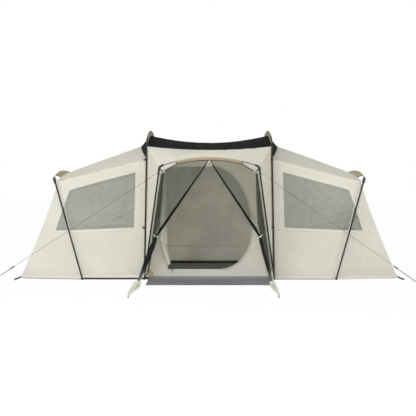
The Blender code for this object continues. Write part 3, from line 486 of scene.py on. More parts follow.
floor_grey = sheeting("floor_grey", (0.168, 0.170, 0.176), (0.230, 0.232, 0.240))
floor_black = sheeting("floor_black", (0.012, 0.012, 0.012), (0.022, 0.022, 0.022))
quarter = np.array([(FOLD_FOOT_X, HALF_DEPTH), (HALF_LENGTH, HALF_DEPTH - CORNER_SETBACK)])
outline = np.concatenate([quarter * (1, -1), quarter[::-1], quarter * (-1, 1), -quarter[::-1]])
outline = np.concatenate([outline, outline[:1]])
steps = np.linspace(0, 1, 24, endpoint=False)
rim = np.concatenate([lerp(a, b, steps[:, None]) for a, b in zip(outline[:-1], outline[1:])])
share = np.linspace(0.02, 0.988, 46)[:, None, None]
level = rim[None] * share
lift = 0.0022 + np.abs(relief(level[..., 0], level[..., 1], 3, depth=0.004, folds=50,
                              size=(5.2, 2.9), length=0.5, width=0.10))
floor_rows = np.concatenate([level, (lift * (1 - share[..., 0] ** 8))[..., None]], -1)
floor_panel = shape("floor_panel", floor_rows, outward=(0, 0, 1), wrap=True,
                    spread=np.concatenate([level, level[:, :1]], 1))
cap = bpy.data.meshes.new("floor_middle")
cap.from_pydata(floor_rows[0].tolist(), [], [list(range(len(rim)))])
cap.uv_layers.new(name="cloth")
if cap.polygons[0].normal.z < 0:
    cap.flip_normals()
middle = bpy.data.objects.new("floor_middle", cap)
bpy.context.scene.collection.objects.link(middle)
dressed(middle, floor_grey, body="tent")
dressed(thick(floor_panel, SHEETING), floor_grey, body="tent",
        node="bathtub_floor")

# Each row of the edge strip: its share of the way out to the rim, and its height.
strip = np.array([(0.975, 0.0030), (0.990, 0.0026), (0.9985, 0.0060), (0.9995, 0.0150),
                  (1.0, 0.0260), (0.9995, LIP_HEIGHT)])
turned_up = np.concatenate([rim[None] * strip[:, :1, None],
                            np.broadcast_to(strip[:, 1:, None], (len(strip), len(rim), 1))], -1)
waver = 0.0012 * np.sin(np.arange(len(rim)) * 2 * math.pi * 11 / len(rim))
turned_up[3:, :, :2] *= (1 - np.abs(waver) / 2)[None, :, None]
upstand = shape("floor_upstand", turned_up, outward=(0, 0, 1), wrap=True)
dressed(thick(upstand, SHEETING), floor_black, body="tent")
sheet_of(floor_panel)

# The porch mat. A loose sheet of the same woven polyethylene, toggled to the groundsheet's edge
# under the door, with a tape round its three free sides, lying on the ground in front of the sill.
PORCH_HALF_WIDTH, PORCH_DEPTH, MAT_GAP = 0.880, 0.885, 0.014
mat_grey = sheeting("mat_grey", (0.155, 0.155, 0.16), (0.235, 0.235, 0.235))
u = np.linspace(-1, 1, 90)[None, :]
v = np.linspace(0, 1, 70)[:, None]
mat_x = u * PORCH_HALF_WIDTH * (1 - 0.004 * np.sin(math.pi * v))
mat_y = -HALF_DEPTH - MAT_GAP - v * (PORCH_DEPTH - MAT_GAP) * (1 - 0.008 * np.cos(3 * math.pi * u))
ripple = np.abs(relief(mat_x, mat_y + 1.97, 8, depth=0.006, folds=40, size=(1.8, 0.9), length=0.6,
                       width=0.12, toward=(0.0, 3.0)))
mat_rows = points_at(mat_x, mat_y, 0.0024 + ripple * held_at_edges(v, 0.2))
up_the_wall = mat_rows[:1] + np.array([(0, 0.010, 0.045), (0, 0.0095, 0.030), (0, 0.008, 0.014),
                                       (0, 0.004, 0.004)])[:, None]
porch_mat = shape("porch_mat", np.concatenate([up_the_wall, mat_rows]), outward=(0, -0.2, 1))
dressed(thick(porch_mat, SHEETING), mat_grey, body="tent", node="porch_floor")


def distance_along(route):
    """How far each point of a route is from its first one, along it."""
    return np.concatenate([[0], np.cumsum(np.linalg.norm(np.diff(route, axis=0), axis=1))])


def ribbon(name, route, face, width, proud):
    """A flat strip along a route on a surface: across it a low arch over its width, raised out
    of the surface by proud at its middle. face is the surface's outward direction. The map
    runs in metres along it and across it."""
    route = np.asarray(route, float)
    along = unit(np.gradient(route, axis=0))
    face = unit(np.broadcast_to(np.asarray(face, float), route.shape))
    aside = unit(np.cross(face, along))
    across = np.linspace(-1, 1, 7)
    rows = carried(route, aside, face, width / 2 * across, proud * (1 - np.abs(across) ** 4))
    spread = points_at(distance_along(route)[:, None], width / 2 * (across + 1))
    return shape(name, rows, outward=face.sum(0), spread=spread)


def sewn(name, route, face, tape, width=0.012, proud=0.001, body="tent", slot="canvas"):
    """A strip of tape sewn down along a route, riding on a body."""
    return dressed(ribbon(name, route, face, width, proud), tape, body=body)


def stitched(name, colour, thread, seam=0.006, inset=0.0022):
    """Tape with a row of stitches near each edge: the map across it is folded about the seam's
    middle, and a dash shows where the folded distance is the inset and the map along it is
    inside the stitch's share of 4 mm."""
    made = finish(name, colour, 0.85)
    tree = made.node_tree
    apart = add_node(tree, "ShaderNodeSeparateXYZ", {"Vector": own_map(tree)}).outputs
    folded = reckon(tree, "PINGPONG", apart["Y"], seam)
    row = reckon(tree, "COMPARE", folded, inset, 0.00045)
    dash = reckon(tree, "LESS_THAN", reckon(tree, "MODULO", apart["X"], 0.004), 0.0028)
    stitch = reckon(tree, "MULTIPLY", row, dash)
    two_tone(made, colour, thread, stitch)
    raised(made, stitch, 0.0005, before=raised(made, ribs(tree, 0.0016), 0.00015))
    return made


black_tape = stitched("black_tape", (0.020, 0.020, 0.020), (0.060, 0.060, 0.058))
for label, route in (("front", mat_rows[-1]), ("left", mat_rows[:, 0]), ("right", mat_rows[:, -1])):
    sewn(f"mat_hem_{label}", route + (0, 0, 0.0004), (0, 0, 1), black_tape, proud=0.0009,
         slot="porch_mat")
sheet_of(porch_mat)

# The walls. Cream coated polyester, cut in panels and joined by flat felled seams with two rows of
# stitches. Taut between the hoops and the pegs, it creases along the pull. The window's four
# sides each pass a corner, and lean by a share of the way up or along.
WALL_FOOT_Z = 0.0353
RIDGE_RISE = 0.171
FRONT_SAG, MIDDLE_SAG = 0.053, 0.113
EAVE_IN_Z, EAVE_OUT_Z = 1.756, 1.436
WING_TOP_X = 2.195
FOLD_TOP_X, FOLD_BOW, END_CURVE = 2.150, 0.20, 1.15
WINDOW_INNER, WINDOW_OUTER = (1.093, 0.757, 0.03354), (2.236, 0.707, 0.35966)
WINDOW_SILL, WINDOW_HEAD = (0.757, 1.093, 0.04374), (1.562, 1.066, 0.27197)
LAP_WIDTH, LAP_HANG = 0.038, {("front", "left"): (0.028, 0.010), ("front", "right"): (0.010, 0.004)}
BUTT, CLOTH = 0.0036, 0.0010
CREAM = (0.893, 0.887, 0.811)
CREAM_LOW = (0.845, 0.835, 0.755)
SOIL = (0.30, 0.27, 0.20)


def bay_x(z):
    """Half width of the middle bay at a height."""
    return BAY_FOOT_X + (BAY_TOP_X - BAY_FOOT_X) * np.asarray(z) / FRONT_TOP_Z


def crown(y):
    """0 at the front and back wall, 1 at the middle of the tent."""
    return 1 - (np.asarray(y) / HALF_DEPTH) ** 2


def hoop_cloth_z(y):
    """Height of the cloth at the centre hoops: it rises to the ridge as a parabola."""
    return FRONT_TOP_Z + RIDGE_RISE * crown(y)


def mesh_roof_z(x, y):
    """Height of the mesh roof: the hoops' cloth line, less a sag that is deepest midway."""
    sag = FRONT_SAG + (MIDDLE_SAG - FRONT_SAG) * crown(y)
    return hoop_cloth_z(y) - sag * (1 - (np.asarray(x) / BAY_TOP_X) ** 2)


def eave_z(x):
    """Height of the eave: it falls, straight, from the middle bay to the wing's top corner."""
    inner = bay_x(EAVE_IN_Z)
    return EAVE_IN_Z + (EAVE_OUT_Z - EAVE_IN_Z) * (x - inner) / (WING_TOP_X - inner)


def corner_x(t):
    """X of the end corner, from the ground at 0 to the eave at 1: a slightly hollow curve."""
    return WING_TOP_X + (HALF_LENGTH - WING_TOP_X) * np.clip(1 - t, 0, 1) ** END_CURVE


def fold_x(t):
    """X of the fold behind the wing leg: a line from foot to eave, bowed out as a parabola."""
    return FOLD_FOOT_X + (FOLD_TOP_X - FOLD_FOOT_X) * t + FOLD_BOW * t * (1 - t)


def height_of(tree):
    """How high each spot of the piece is over the ground, in metres."""
    place = add_node(tree, "ShaderNodeTexCoord").outputs["Object"]
    return add_node(tree, "ShaderNodeSeparateXYZ", {"Vector": place}).outputs["Z"]


def canvas(name, colour, deep, see_through=0.43, crease=0.0016, soil=0.07):
    """Coated canvas: its tone drifts softly from deep to colour, it is a little soiled near the
    ground, and some light passes through it from behind."""
    made = finish(name, colour, 0.82, specular=0.25)
    tree = made.node_tree
    weave_bump(made, crease=crease)
    drift = ranged(tree, patches(tree, 1.6, 4.0, 0.55, 0.4), 0.0, 1.0, 0.32, 0.66)
    soiled = ranged(tree, height_of(tree), soil, 0.0, 0.03, 0.20)
    tone = mixed(tree, mixed(tree, deep, colour, drift), SOIL, soiled)
    feed(made, "Base Color", tone)
    behind = add_node(tree, "ShaderNodeBsdfTranslucent", {"Color": tone})
    mix = add_node(tree, "ShaderNodeMixShader", {0: see_through, 2: behind.outputs[0],
                   1: tree.nodes["Principled BSDF"].outputs[0]})
    tree.links.new(mix.outputs[0], tree.nodes["Material Output"].inputs["Surface"])
    return made


def panel(made, node, material=None, thickness=CLOTH):
    """A panel of the tent's own cream canvas, or of another cloth, that stands for a solid."""
    return dressed(thick(made, thickness), material or cream, body="tent", node=node)


cream = canvas("cream_canvas", CREAM, CREAM_LOW)
cream_tape = stitched("cream_tape", (0.665, 0.650, 0.565), (0.50, 0.48, 0.40))


def creased(across, up, limit, a, b, seed, **cut):
    """The height of a panel's creases: relief, kept within a limit, that dies away at the edges of
    the panel, where across and up are 0 and 1."""
    crease = np.clip(relief(a, b, seed, **cut), -limit, limit)
    return crease * held_at_edges(across) * held_at_edges(up)


def wing_place(side, face, x, z, proud=0.0):
    """A point of a wing wall. It lies in the wall's plane as far as the fold behind the wing
    leg, and turns back beyond it to the end corner. Creases stand out of it between its
    edges. side is -1 or 1, and face is -1 at the front and 1 at the back."""
    x, z = np.broadcast_arrays(np.asarray(x, float), np.asarray(z, float))
    top = eave_z(np.minimum(x, WING_TOP_X))
    t = np.clip((z - WALL_FOOT_Z) / (top - WALL_FOOT_Z), 0, 1)
    end, turn = corner_x(t), fold_x(t)
    back = CORNER_SETBACK * (1 - t) * np.clip((x - turn) / (end - turn), 0, 1)
    across = np.clip((x - bay_x(z)) / (end - bay_x(z)), 0, 1)
    seed = 20 + 2 * side + face
    crease = relief(x - 1.7, z - 0.8, seed, depth=0.0030, folds=26, size=(1.8, 1.5), length=0.7,
                    width=0.14, toward=(0.5, 0.8))
    crease = crease + relief(x - 1.7, z - 0.3, seed + 9, depth=0.0026, folds=18, size=(1.8, 0.6),
                             length=0.5, width=0.11, toward=(-0.7, 1.6))
    crease = np.clip(crease, -0.006, 0.006) * held_at_edges(across) * held_at_edges(t)
    return points_at(side * x, face * (HALF_DEPTH - back + crease + proud), z)


def leaning(line, along):
    """Where a side of the window is: its own place at its corner, less a share of the way on."""
    at, corner, fall = line
    return at - fall * (along - corner)


def wing_grid(columns, rows):
    """Heights and widths over a wing wall. Column lines 0 to 3 are its inner edge, the window's
    two sides and the end corner, and row lines 0 to 3 its foot, the window's sill and head and
    the eave. Where a column line and a row line meet is found by turns."""
    a, b = np.meshgrid(np.asarray(columns, float), np.asarray(rows, float))
    x = 0.94 + 0.55 * a
    z = 0.04 + 0.48 * b
    for _ in range(40):
        t = (z - WALL_FOOT_Z) / (EAVE_OUT_Z - BUTT - WALL_FOOT_Z)
        lines = np.stack([bay_x(z) - BUTT, leaning(WINDOW_INNER, z), leaning(WINDOW_OUTER, z),
                          corner_x(np.clip(t, 0, 1)) - 0.0005])
        x = bend_between(lines, a)
        levels = np.stack([np.full_like(x, WALL_FOOT_Z), leaning(WINDOW_SILL, x),
                           leaning(WINDOW_HEAD, x), eave_z(np.minimum(x, WING_TOP_X)) - BUTT])
        z = bend_between(levels, b)
    return x, z


def bend_between(lines, place):
    """Straight between line 0 and 1, 1 and 2, and 2 and 3, at a place from 0 to 3."""
    low = np.clip(np.floor(place), 0, 2).astype(int)
    start = np.take_along_axis(lines, low[None], 0)[0]
    stop = np.take_along_axis(lines, low[None] + 1, 0)[0]
    return start + (stop - start) * (place - low)


def thirds(first, second, third):
    """Places from 0 to 3, with this many steps in each third."""
    return np.concatenate([np.linspace(0, 1, first + 1)[:-1], np.linspace(1, 2, second + 1)[:-1],
                           np.linspace(2, 3, third + 1)])


ACROSS, UP = (8, 56, 28), (34, 40, 14)
grid_x, grid_z = wing_grid(thirds(*ACROSS), thirds(*UP))
window_hole = (UP[0], UP[0] + UP[1], ACROSS[0], ACROSS[0] + ACROSS[1])
FACES = ((-1, "front"), (1, "back"))
for side, word in SIDES:
    for face, end in FACES:
        wall = shape(f"wing_wall_{end}_{word}", wing_place(side, face, grid_x, grid_z),
                     outward=(0, face, 0), hole=window_hole if face < 0 else None,
                     spread=points_at(grid_x, grid_z))
        panel(wall, f"wing_{end}_wall_{word}")
        t = np.linspace(0.02, 0.99, 60)
        seams = [sewn(f"wing_seam_{label}_{end}_{word}", wing_place(side, face, x, z), (0, face, 0),
                      cream_tape, proud=0.0009)
                 for label, x, z in (("inner", grid_x[:, 1] - 0.004, grid_z[:, 1]),
                                     ("eave", grid_x[-1], grid_z[-1] - 0.012),
                                     ("foot", grid_x[0], grid_z[0] + 0.010),
                                     ("sill", grid_x[32], grid_z[32]),
                                     ("side", grid_x[30:, 5], grid_z[30:, 5]),
                                     ("fold", fold_x(t), lerp(WALL_FOOT_Z, eave_z(FOLD_TOP_X) - BUTT, t)))]
        lap = np.linspace(bay_x(0.02) + 0.003, HALF_LENGTH - 0.004, 90)
        line = wing_place(side, face, lap, WALL_FOOT_Z, 0.0040)
        line[:, 2] = LAP_WIDTH / 2 + np.interp(lap, (1.80, 1.88), LAP_HANG.get((end, word), (0.008, 0.008)))
        seams.append(sewn(f"wing_lap_{end}_{word}", line, (side * 0.1, face, 0), cream_tape,
                          width=LAP_WIDTH))
        sheet_of(wall)

# The front wall of the middle bay. One cream panel with a D-shaped doorway: a straight hinge side
# on the left, a wide curve above and a tighter one below, bound with tape and edged with a zip.
DOOR_LEFT_X, DOOR_LEAN, DOOR_RIGHT_X = -0.600, -0.040, 0.614
DOOR_SILL_Z, DOOR_TOP_Z, DOOR_SIDE_Z = 0.152, 1.640, 0.712
DOOR_TOP_RUN, DOOR_FOOT_RUN = 0.06, 0.15
DOOR_MIDDLE = np.array([0.0, 0.85])
BINDING_OUT, ZIP_OUT, ZIP_WIDTH, FOOT_SEAM_Z = 0.008, 0.018, 0.006, 0.047


def front_place(x, z, proud=0.0, face=-1):
    """A point of the front or back wall of the middle bay, with its creases between its edges."""
    x, z = np.broadcast_arrays(np.asarray(x, float), np.asarray(z, float))
    across = np.clip(x / (2 * (bay_x(z) - BUTT)) + 0.5, 0, 1)
    up = np.clip((z - WALL_FOOT_Z) / (mesh_roof_z(x, HALF_DEPTH) - BUTT - WALL_FOOT_Z), 0, 1)
    crease = creased(across, up, 0.005, x, z - 1.0, 41 + face, depth=0.0026, folds=24,
                     size=(1.8, 1.9), length=0.6, width=0.13)
    return points_at(x, face * (HALF_DEPTH + crease + proud), z)


def door_line(count):
    """Points round the doorway: the lower curve, the upper curve and the straight hinge side."""
    low = np.radians(np.linspace(-90, 0, count))
    high = np.radians(np.linspace(0, 90, count))
    lower = points_at(DOOR_FOOT_RUN + (DOOR_RIGHT_X - DOOR_FOOT_RUN) * np.cos(low),
                      DOOR_SIDE_Z + (DOOR_SIDE_Z - DOOR_SILL_Z) * np.sin(low))
    upper = points_at(DOOR_TOP_RUN + (DOOR_RIGHT_X - DOOR_TOP_RUN) * np.cos(high),
                      DOOR_SIDE_Z + (DOOR_TOP_Z - DOOR_SIDE_Z) * np.sin(high))
    corner = np.array([(DOOR_LEFT_X + DOOR_LEAN, DOOR_TOP_Z), (DOOR_LEFT_X, DOOR_SILL_Z)])
    t = np.linspace(0, 1, count)[:, None]
    return np.concatenate([lower, upper[1:], lerp(upper[-1], corner[0], t)[1:],
                           lerp(corner[0], corner[1], t)[1:], lerp(corner[1], lower[0], t)[1:-1]])


def reach_of(outline, middle, angle):
    """How far a closed outline is from a middle point, at each angle about it."""
    away = outline - middle
    turn = np.arctan2(away[:, 1], away[:, 0])
    order = np.argsort(turn)
    return np.interp(angle, turn[order], np.hypot(*away[order].T), period=2 * math.pi)


POINTS, DOOR_POINTS = 400, 160
t = np.linspace(0, 1, POINTS, endpoint=False)
side_z = lerp(WALL_FOOT_Z, mesh_roof_z(BAY_TOP_X, HALF_DEPTH) - BUTT, t)
top_x = (bay_x(FRONT_TOP_Z) - BUTT) * (1 - 2 * t)
wall_line = np.concatenate([
    points_at((bay_x(WALL_FOOT_Z) - BUTT) * (2 * t - 1), WALL_FOOT_Z),
    points_at(bay_x(side_z) - BUTT, side_z),
    points_at(top_x, mesh_roof_z(top_x, HALF_DEPTH) - BUTT),
    points_at(-bay_x(side_z[::-1]) + BUTT, side_z[::-1])])
door_edge = door_line(DOOR_POINTS)
curve_end, hinge_top, hinge_foot = 2 * DOOR_POINTS, 3 * DOOR_POINTS - 2, 4 * DOOR_POINTS - 3
sharp = np.concatenate([wall_line[::POINTS], door_edge[[hinge_top, hinge_foot]]]) - DOOR_MIDDLE
angle = np.sort(np.concatenate([np.linspace(-math.pi, math.pi, 300, endpoint=False),
                                np.arctan2(sharp[:, 1], sharp[:, 0])]))
ray = points_at(np.cos(angle), np.sin(angle))
inner = DOOR_MIDDLE + ray * reach_of(door_edge, DOOR_MIDDLE, angle)[:, None]
outer = DOOR_MIDDLE + ray * reach_of(wall_line, DOOR_MIDDLE, angle)[:, None]
flat = lerp(inner[None], outer[None], np.linspace(0, 1, 34)[:, None, None])
front_wall = shape("door_wall", front_place(flat[..., 0], flat[..., 1]), outward=(0, -1, 0),
                   wrap=True, spread=np.concatenate([flat, flat[:, :1]], 1))
panel(front_wall, "front_wall")

zip_grey = finish("zip_coil", (0.29, 0.28, 0.25), 0.45)
coil = ribs(zip_grey.node_tree, 0.0026)
two_tone(zip_grey, (0.20, 0.195, 0.17), (0.38, 0.37, 0.33), coil)
raised(zip_grey, coil, 0.0008)


def door_trim(label, part, out, lift, tape, **cut):
    """A strip that runs round the doorway, this far out from a part of its edge."""
    track = part + unit(part - DOOR_MIDDLE) * out
    place = front_place(track[:, 0], track[:, 1], lift)
    return sewn(f"door_{label}", place, (0, -1, 0), tape, **cut)


x = np.linspace(-0.93, 0.93, 80)
z = np.linspace(0.05, 1.89, 90)
door_trims = [door_trim("binding", door_edge, BINDING_OUT, 0.0002, cream_tape, proud=0.0011),
              door_trim("zip_curve", door_edge[:curve_end], ZIP_OUT, 0.0004, zip_grey,
                        width=ZIP_WIDTH, proud=0.0016, slot="black_plastic"),
              door_trim("zip_hinge", door_edge[hinge_top + 1:hinge_foot + 1], ZIP_OUT, 0.0004,
                        zip_grey, width=ZIP_WIDTH, proud=0.0016, slot="black_plastic"),
              sewn("wall_foot_seam", front_place(x * 0.998, FOOT_SEAM_Z), (0, -1, 0), cream_tape),
              sewn("wall_head_seam", front_place(x * 0.965, mesh_roof_z(x * 0.965, HALF_DEPTH) - 0.014),
                   (0, -1, 0), cream_tape)]
door_trims += [sewn(f"wall_side_seam_{word}", front_place(side * (bay_x(z) - 0.014), z), (0, -1, 0),
                    cream_tape) for side, word in SIDES]
sheet_of(front_wall)

# The tan patch at the foot of the front wall. Two layers of heavier polyester sewn over the
# left lower corner, where the pull of the porch and its peg loop comes in.
PATCH = np.array([(-0.918, 0.052), (-0.795, 0.052), (-0.832, 0.125), (-0.900, 0.195)])
LIGHT_CLOTH = 0.0008
tan = canvas("tan_canvas", (0.640, 0.500, 0.340), (0.560, 0.420, 0.270), see_through=0.12,
             crease=0.001, soil=0.05)
a, b = np.meshgrid(np.linspace(0, 1, 26), np.linspace(0, 1, 20))
flat = lerp(lerp(PATCH[0], PATCH[1], a[..., None]), lerp(PATCH[3], PATCH[2], a[..., None]), b[..., None])
padding = 0.0012 + 0.0012 * np.sin(math.pi * a) * np.sin(math.pi * b)
patch = shape("corner_patch", front_place(flat[..., 0], flat[..., 1], padding), outward=(0, -1, 0),
              spread=flat)
dressed(thick(patch, LIGHT_CLOTH), tan, body="tent")
sheet_of(patch)

# The back wall and the two end walls. The same cream polyester, plain, with one seam low across
# the back, where the panel is joined to a strip that is turned under to the groundsheet. The back
# wall's cream is painted darker in its deeper tone, as painted shade for the inside of the tent seen
# through the door.
BACK_SEAM_Z, END_ARCH = 0.283, 0.082
u = np.linspace(-1, 1, 90)[None, :]
v = np.linspace(0, 1, 90)[:, None]
top = mesh_roof_z(u * BAY_TOP_X, HALF_DEPTH) - BUTT
z = WALL_FOOT_Z + (top - WALL_FOOT_Z) * v
x = u * (bay_x(z) - BUTT)
back_wall = shape("rear_wall", front_place(x, z, face=1), outward=(0, 1, 0), spread=points_at(x, z))
# Painted shade: the back wall's cream is darker in its deeper tone, for the inside of the tent seen through
# the door.
back_cream_painted_shade = canvas("rear_canvas_painted_shade", (0.890, 0.883, 0.810), (0.705, 0.697, 0.630), see_through=0.39,
                    crease=0.012)
panel(back_wall, "back_wall", back_cream_painted_shade)
x = np.linspace(-0.92, 0.92, 80)
back_trims = [sewn(f"rear_seam_{label}", front_place(x, z, face=1) - (0, sunk, 0),
                   (0, 1 if sunk == 0 else -1, 0), cream_tape)
              for label, z, sunk in (("low", BACK_SEAM_Z, 0), ("low_inside", BACK_SEAM_Z, 0.0011),
                                     ("foot", FOOT_SEAM_Z, 0))]
sheet_of(back_wall)


def outer_edge_z(y):
    """Height of the wing roof's outer edge: a low arch between the two elbows."""
    return EAVE_OUT_Z + END_ARCH * crown(y)


def end_place(side, u, t):
    """A point of an end wall: along it from -1 at the front corner to 1 at the back one, and up
    it from 0 at the ground to 1 at the arched top."""
    u, t = np.broadcast_arrays(np.asarray(u, float), np.asarray(t, float))
    y = u * (HALF_DEPTH - CORNER_SETBACK * (1 - t))
    z = lerp(WALL_FOOT_Z + 0.0012, outer_edge_z(u * HALF_DEPTH) - BUTT, t)
    crease = creased((u + 1) / 2, t, 0.008, y, z - 0.7, 60 + side, depth=0.0040, folds=30,
                     size=(2.6, 1.3), length=0.7, width=0.16)
    return points_at(side * (corner_x(t) + crease), y, z)


u = np.linspace(-1, 1, 110)[None, :]
t = np.linspace(0, 1, 70)[:, None]
for side, word in SIDES:
    rows = end_place(side, u, t)
    wall = shape(f"end_cloth_{word}", rows, outward=(side, 0, 0), spread=rows[..., 1:])
    panel(wall, f"end_wall_{word}")
    trims = [sewn(f"end_seam_{label}_{word}", end_place(side, u[0] * reach, up), (side, 0, 0.3), cream_tape)
             for label, reach, up in (("foot", 0.995, 0.012), ("head", 0.99, 0.990),
                                      ("middle", 0.99, 0.48))]
    sheet_of(wall)


# The two windows. Fine black netting sewn behind the opening in the wall, and 14 mm behind it the
# cream flap that is zipped shut from inside. The flap's cream is painted darker and greenish-grey,
# as painted shade for its place behind the netting, so that the window looks grey-green.
def netting(name, colour, cover, pitch=0.0040, patchy=0.05):
    """Knitted netting: it covers this share of what is behind it, a little more where two crossed
    waves of the thread's pitch are high and in soft random patches."""
    made = finish(name, colour, 0.9, specular=0.05)
    tree = made.node_tree
    knots = crossed(tree, pitch)
    both = reckon(tree, "ADD", knots, patches(tree, 3.0, 3.0))
    feed(made, "Alpha", ranged(tree, both, cover - patchy, cover + patchy, 0.4, 2.1))
    raised(made, knots, 0.0004)
    return made


WINDOW_MIDDLE = np.array([1.58, 1.09])
window_net = netting("window_netting", (0.045, 0.050, 0.045), cover=0.26)
# Painted shade: the flap's cream is darker and greenish-grey, for its place behind the netting.
flap_cream_painted_shade = canvas("flap_canvas_painted_shade", (0.690, 0.708, 0.618), (0.580, 0.597, 0.510), see_through=0.18,
                    crease=0.012, soil=0.0)
pane_a, pane_b = np.linspace(1, 2, 57), np.linspace(1, 2, 41)
for side, word in SIDES:
    x, z = wing_grid(pane_a, pane_b)
    net = shape(f"window_net_{word}", wing_place(side, -1, x, z, -0.0016), outward=(0, -1, 0),
                spread=points_at(x, z))
    dressed(net, window_net, body="tent", node=f"window_mesh_{word}")
    x, z = wing_grid(np.linspace(0.97, 2.06, 70), np.linspace(0.965, 2.05, 60))
    billow = relief(x - 1.6, z - 1.1, 77 + side, depth=0.0060, folds=26, size=(1.2, 0.9),
                    length=0.45, width=0.12)
    flap = shape(f"window_flap_{word}", wing_place(side, -1, x, z, -0.016 + 0.8 * billow),
                 outward=(0, -1, 0), spread=points_at(x, z))
    panel(flap, None, flap_cream_painted_shade, LIGHT_CLOTH)
    sheet_of(flap)
    for label, a, b in (("sill", pane_a, 1.0), ("head", pane_a, 2.0), ("inner", 1.0, pane_b),
                        ("outer", 2.0, pane_b)):
        spots = points_at(*wing_grid(a, b)).reshape(-1, 2)
        x, z = (spots + unit(spots - WINDOW_MIDDLE) * 0.005).T
        sewn(f"window_tape_{label}_{word}", wing_place(side, -1, x, z), (0, -1, 0),
                           cream_tape, proud=0.0011)
    sheet_of(net)

# The wing roofs. Cream panels from the middle bay's edge down to the outer arch, cut hollow so
# that they stretch tight, with a seam down the middle and one along each outer edge.
WING_IN_FLARE, WING_IN_RISE = 0.138, 0.180


def wing_inner_edge(side, y):
    """The roof's inner edge: it swings out and rises from the eave to the middle of the tent."""
    bow = crown(y)
    return points_at(side * (bay_x(EAVE_IN_Z) + WING_IN_FLARE * bow), y, EAVE_IN_Z + WING_IN_RISE * bow)


def wing_roof_place(side, u, t):
    """Across the wing roof from its inner edge at 0 to the outer arch at 1, straight between
    them but for creases, and along it from -1 at the front to 1 at the back."""
    u, t = np.broadcast_arrays(np.asarray(u, float), np.asarray(t, float))
    y = u * HALF_DEPTH
    outer = points_at(side * WING_TOP_X, y, outer_edge_z(y))
    place = lerp(wing_inner_edge(side, y), outer, t[..., None])
    crease = creased((u + 1) / 2, t, 0.007, t * 1.25 - 0.6, y, 90 + side, depth=0.0040, folds=30,
                     size=(1.2, 2.8), length=0.7, width=0.17, toward=(1.6, 0.0))
    return place + crease[..., None] * unit((side * 0.38, 0, 1.0))


u = np.linspace(-1, 1, 120)[:, None]
t = np.linspace(0, 1, 60)[None, :]
for side, word in SIDES:
    roof = shape(f"wing_roof_cloth_{word}", wing_roof_place(side, u, t), outward=(0, 0, 1))
    panel(roof, f"wing_roof_{word}")
    trims = [sewn(f"wing_roof_seam_{label}_{word}", wing_roof_place(side, along, over),
                  (side * 0.38, 0, 1), cream_tape, proud=0.0011)
             for label, along, over in (("middle", 0.0, t[0]), ("front", -0.992, t[0]),
                                        ("back", 0.992, t[0]), ("outer", u[:, 0] * 0.99, 0.992))]
    sheet_of(roof)

# The mesh roof. Close black netting over the middle bay, slung between the two centre hoops, with
# a narrow strip down each side to the wing roofs and a black binding along its edges.
roof_net = netting("roof_netting", (0.006, 0.006, 0.006), cover=0.975, pitch=0.0050, patchy=0.02)
y = (np.linspace(-1, 1, 120) * HALF_DEPTH)[:, None]
x = np.linspace(1, -1, 90)[None, :] * BAY_TOP_X
hung = relief(x, y, 5, depth=0.0035, folds=26, size=(1.7, 2.8), length=0.6, width=0.18)
hung = hung * held_at_edges((x / BAY_TOP_X + 1) / 2)
span = points_at(x, y, mesh_roof_z(x, y) + hung)
t = np.linspace(0, 1, 14)[:-1, None]
edges = []
for side in (1, -1):
    hoop = points_at(side * BAY_TOP_X, y, hoop_cloth_z(y))
    edges.append(lerp(wing_inner_edge(side, y), hoop, t[None]))
roof_rows = np.concatenate([edges[0], span, edges[1][:, ::-1]], 1)
mesh_roof = shape("roof_net", roof_rows, outward=(0, 0, 1))
dressed(mesh_roof, roof_net, body="tent", node="mesh_roof")
black_binding = stitched("black_binding", (0.014, 0.015, 0.014), (0.030, 0.030, 0.028))
bindings = [sewn(f"roof_binding_{label}", route, face, black_binding, width=0.016, proud=0.0012,
                 slot="dark_mesh")
            for label, route, face in (("front", roof_rows[0], (0, -1, 1)),
                                       ("back", roof_rows[-1], (0, 1, 1)),
                                       ("right", roof_rows[:, 0], (1, 0, 1)),
                                       ("left", roof_rows[:, -1], (-1, 0, 1)),
                                       ("hoop_right", roof_rows[:, 13], (0.2, 0, 1)),
                                       ("hoop_left", roof_rows[:, -14], (-0.2, 0, 1)))]
sheet_of(mesh_roof)

# The legs. Steel tube, 23 mm across, powder-coated dark olive, with a swaged and buttoned head that
# takes the pole above it and a rubber cap on its foot.
LEG_Y = -1.560
JOINT_Z = 1.820
FOOT_RADIUS, WING_FOOT_RADIUS, FOOT_HEIGHT = 0.014, 0.0175, 0.030
WING_FOOT = np.array([1.835, -1.600, 0.003])
WING_ELBOW_X, WING_ELBOW_Z, WING_ARCH_BOW, WING_ARCH_RISE = 2.245, 1.470, 0.043, 0.082
SOCKET_DEPTH, AWNING_SOCKET_DEPTH = 0.070, 0.060


def powder_coat(name, colour, roughness):
    """Baked paint on steel: a fine orange peel and a few dull scuffs, where its colour is paler."""
    made = finish(name, colour, roughness, 0.25, 0.25)
    tree = made.node_tree
    scuff = patches(tree, 26.0, 6.0, 0.7)
    worn = tuple(2.1 * c for c in colour)
    two_tone(made, colour, worn, ranged(tree, scuff, 0.0, 1.0, 0.50, 0.72))
    feed(made, "Roughness", ranged(tree, scuff, roughness - 0.08, roughness + 0.22))
    raised(made, patches(tree, 420.0), 0.00008)
    return made


def moulded(name, colour, roughness=0.5, grain=700.0):
    """Moulded nylon or rubber: a fine spark-eroded grain and a faint drift in its sheen."""
    made = finish(name, colour, roughness)
    tree = made.node_tree
    pits = add_node(tree, "ShaderNodeTexVoronoi", {"Vector": own_map(tree, kind="Object"),
                    "Scale": grain}).outputs["Distance"]
    drift = patches(tree, 40.0, 4.0)
    two_tone(made, tuple(0.75 * c for c in colour), tuple(1.5 * c for c in colour), drift)
    feed(made, "Roughness", ranged(tree, drift, roughness - 0.1, roughness + 0.15))
    raised(made, pits, 0.00006)
    return made


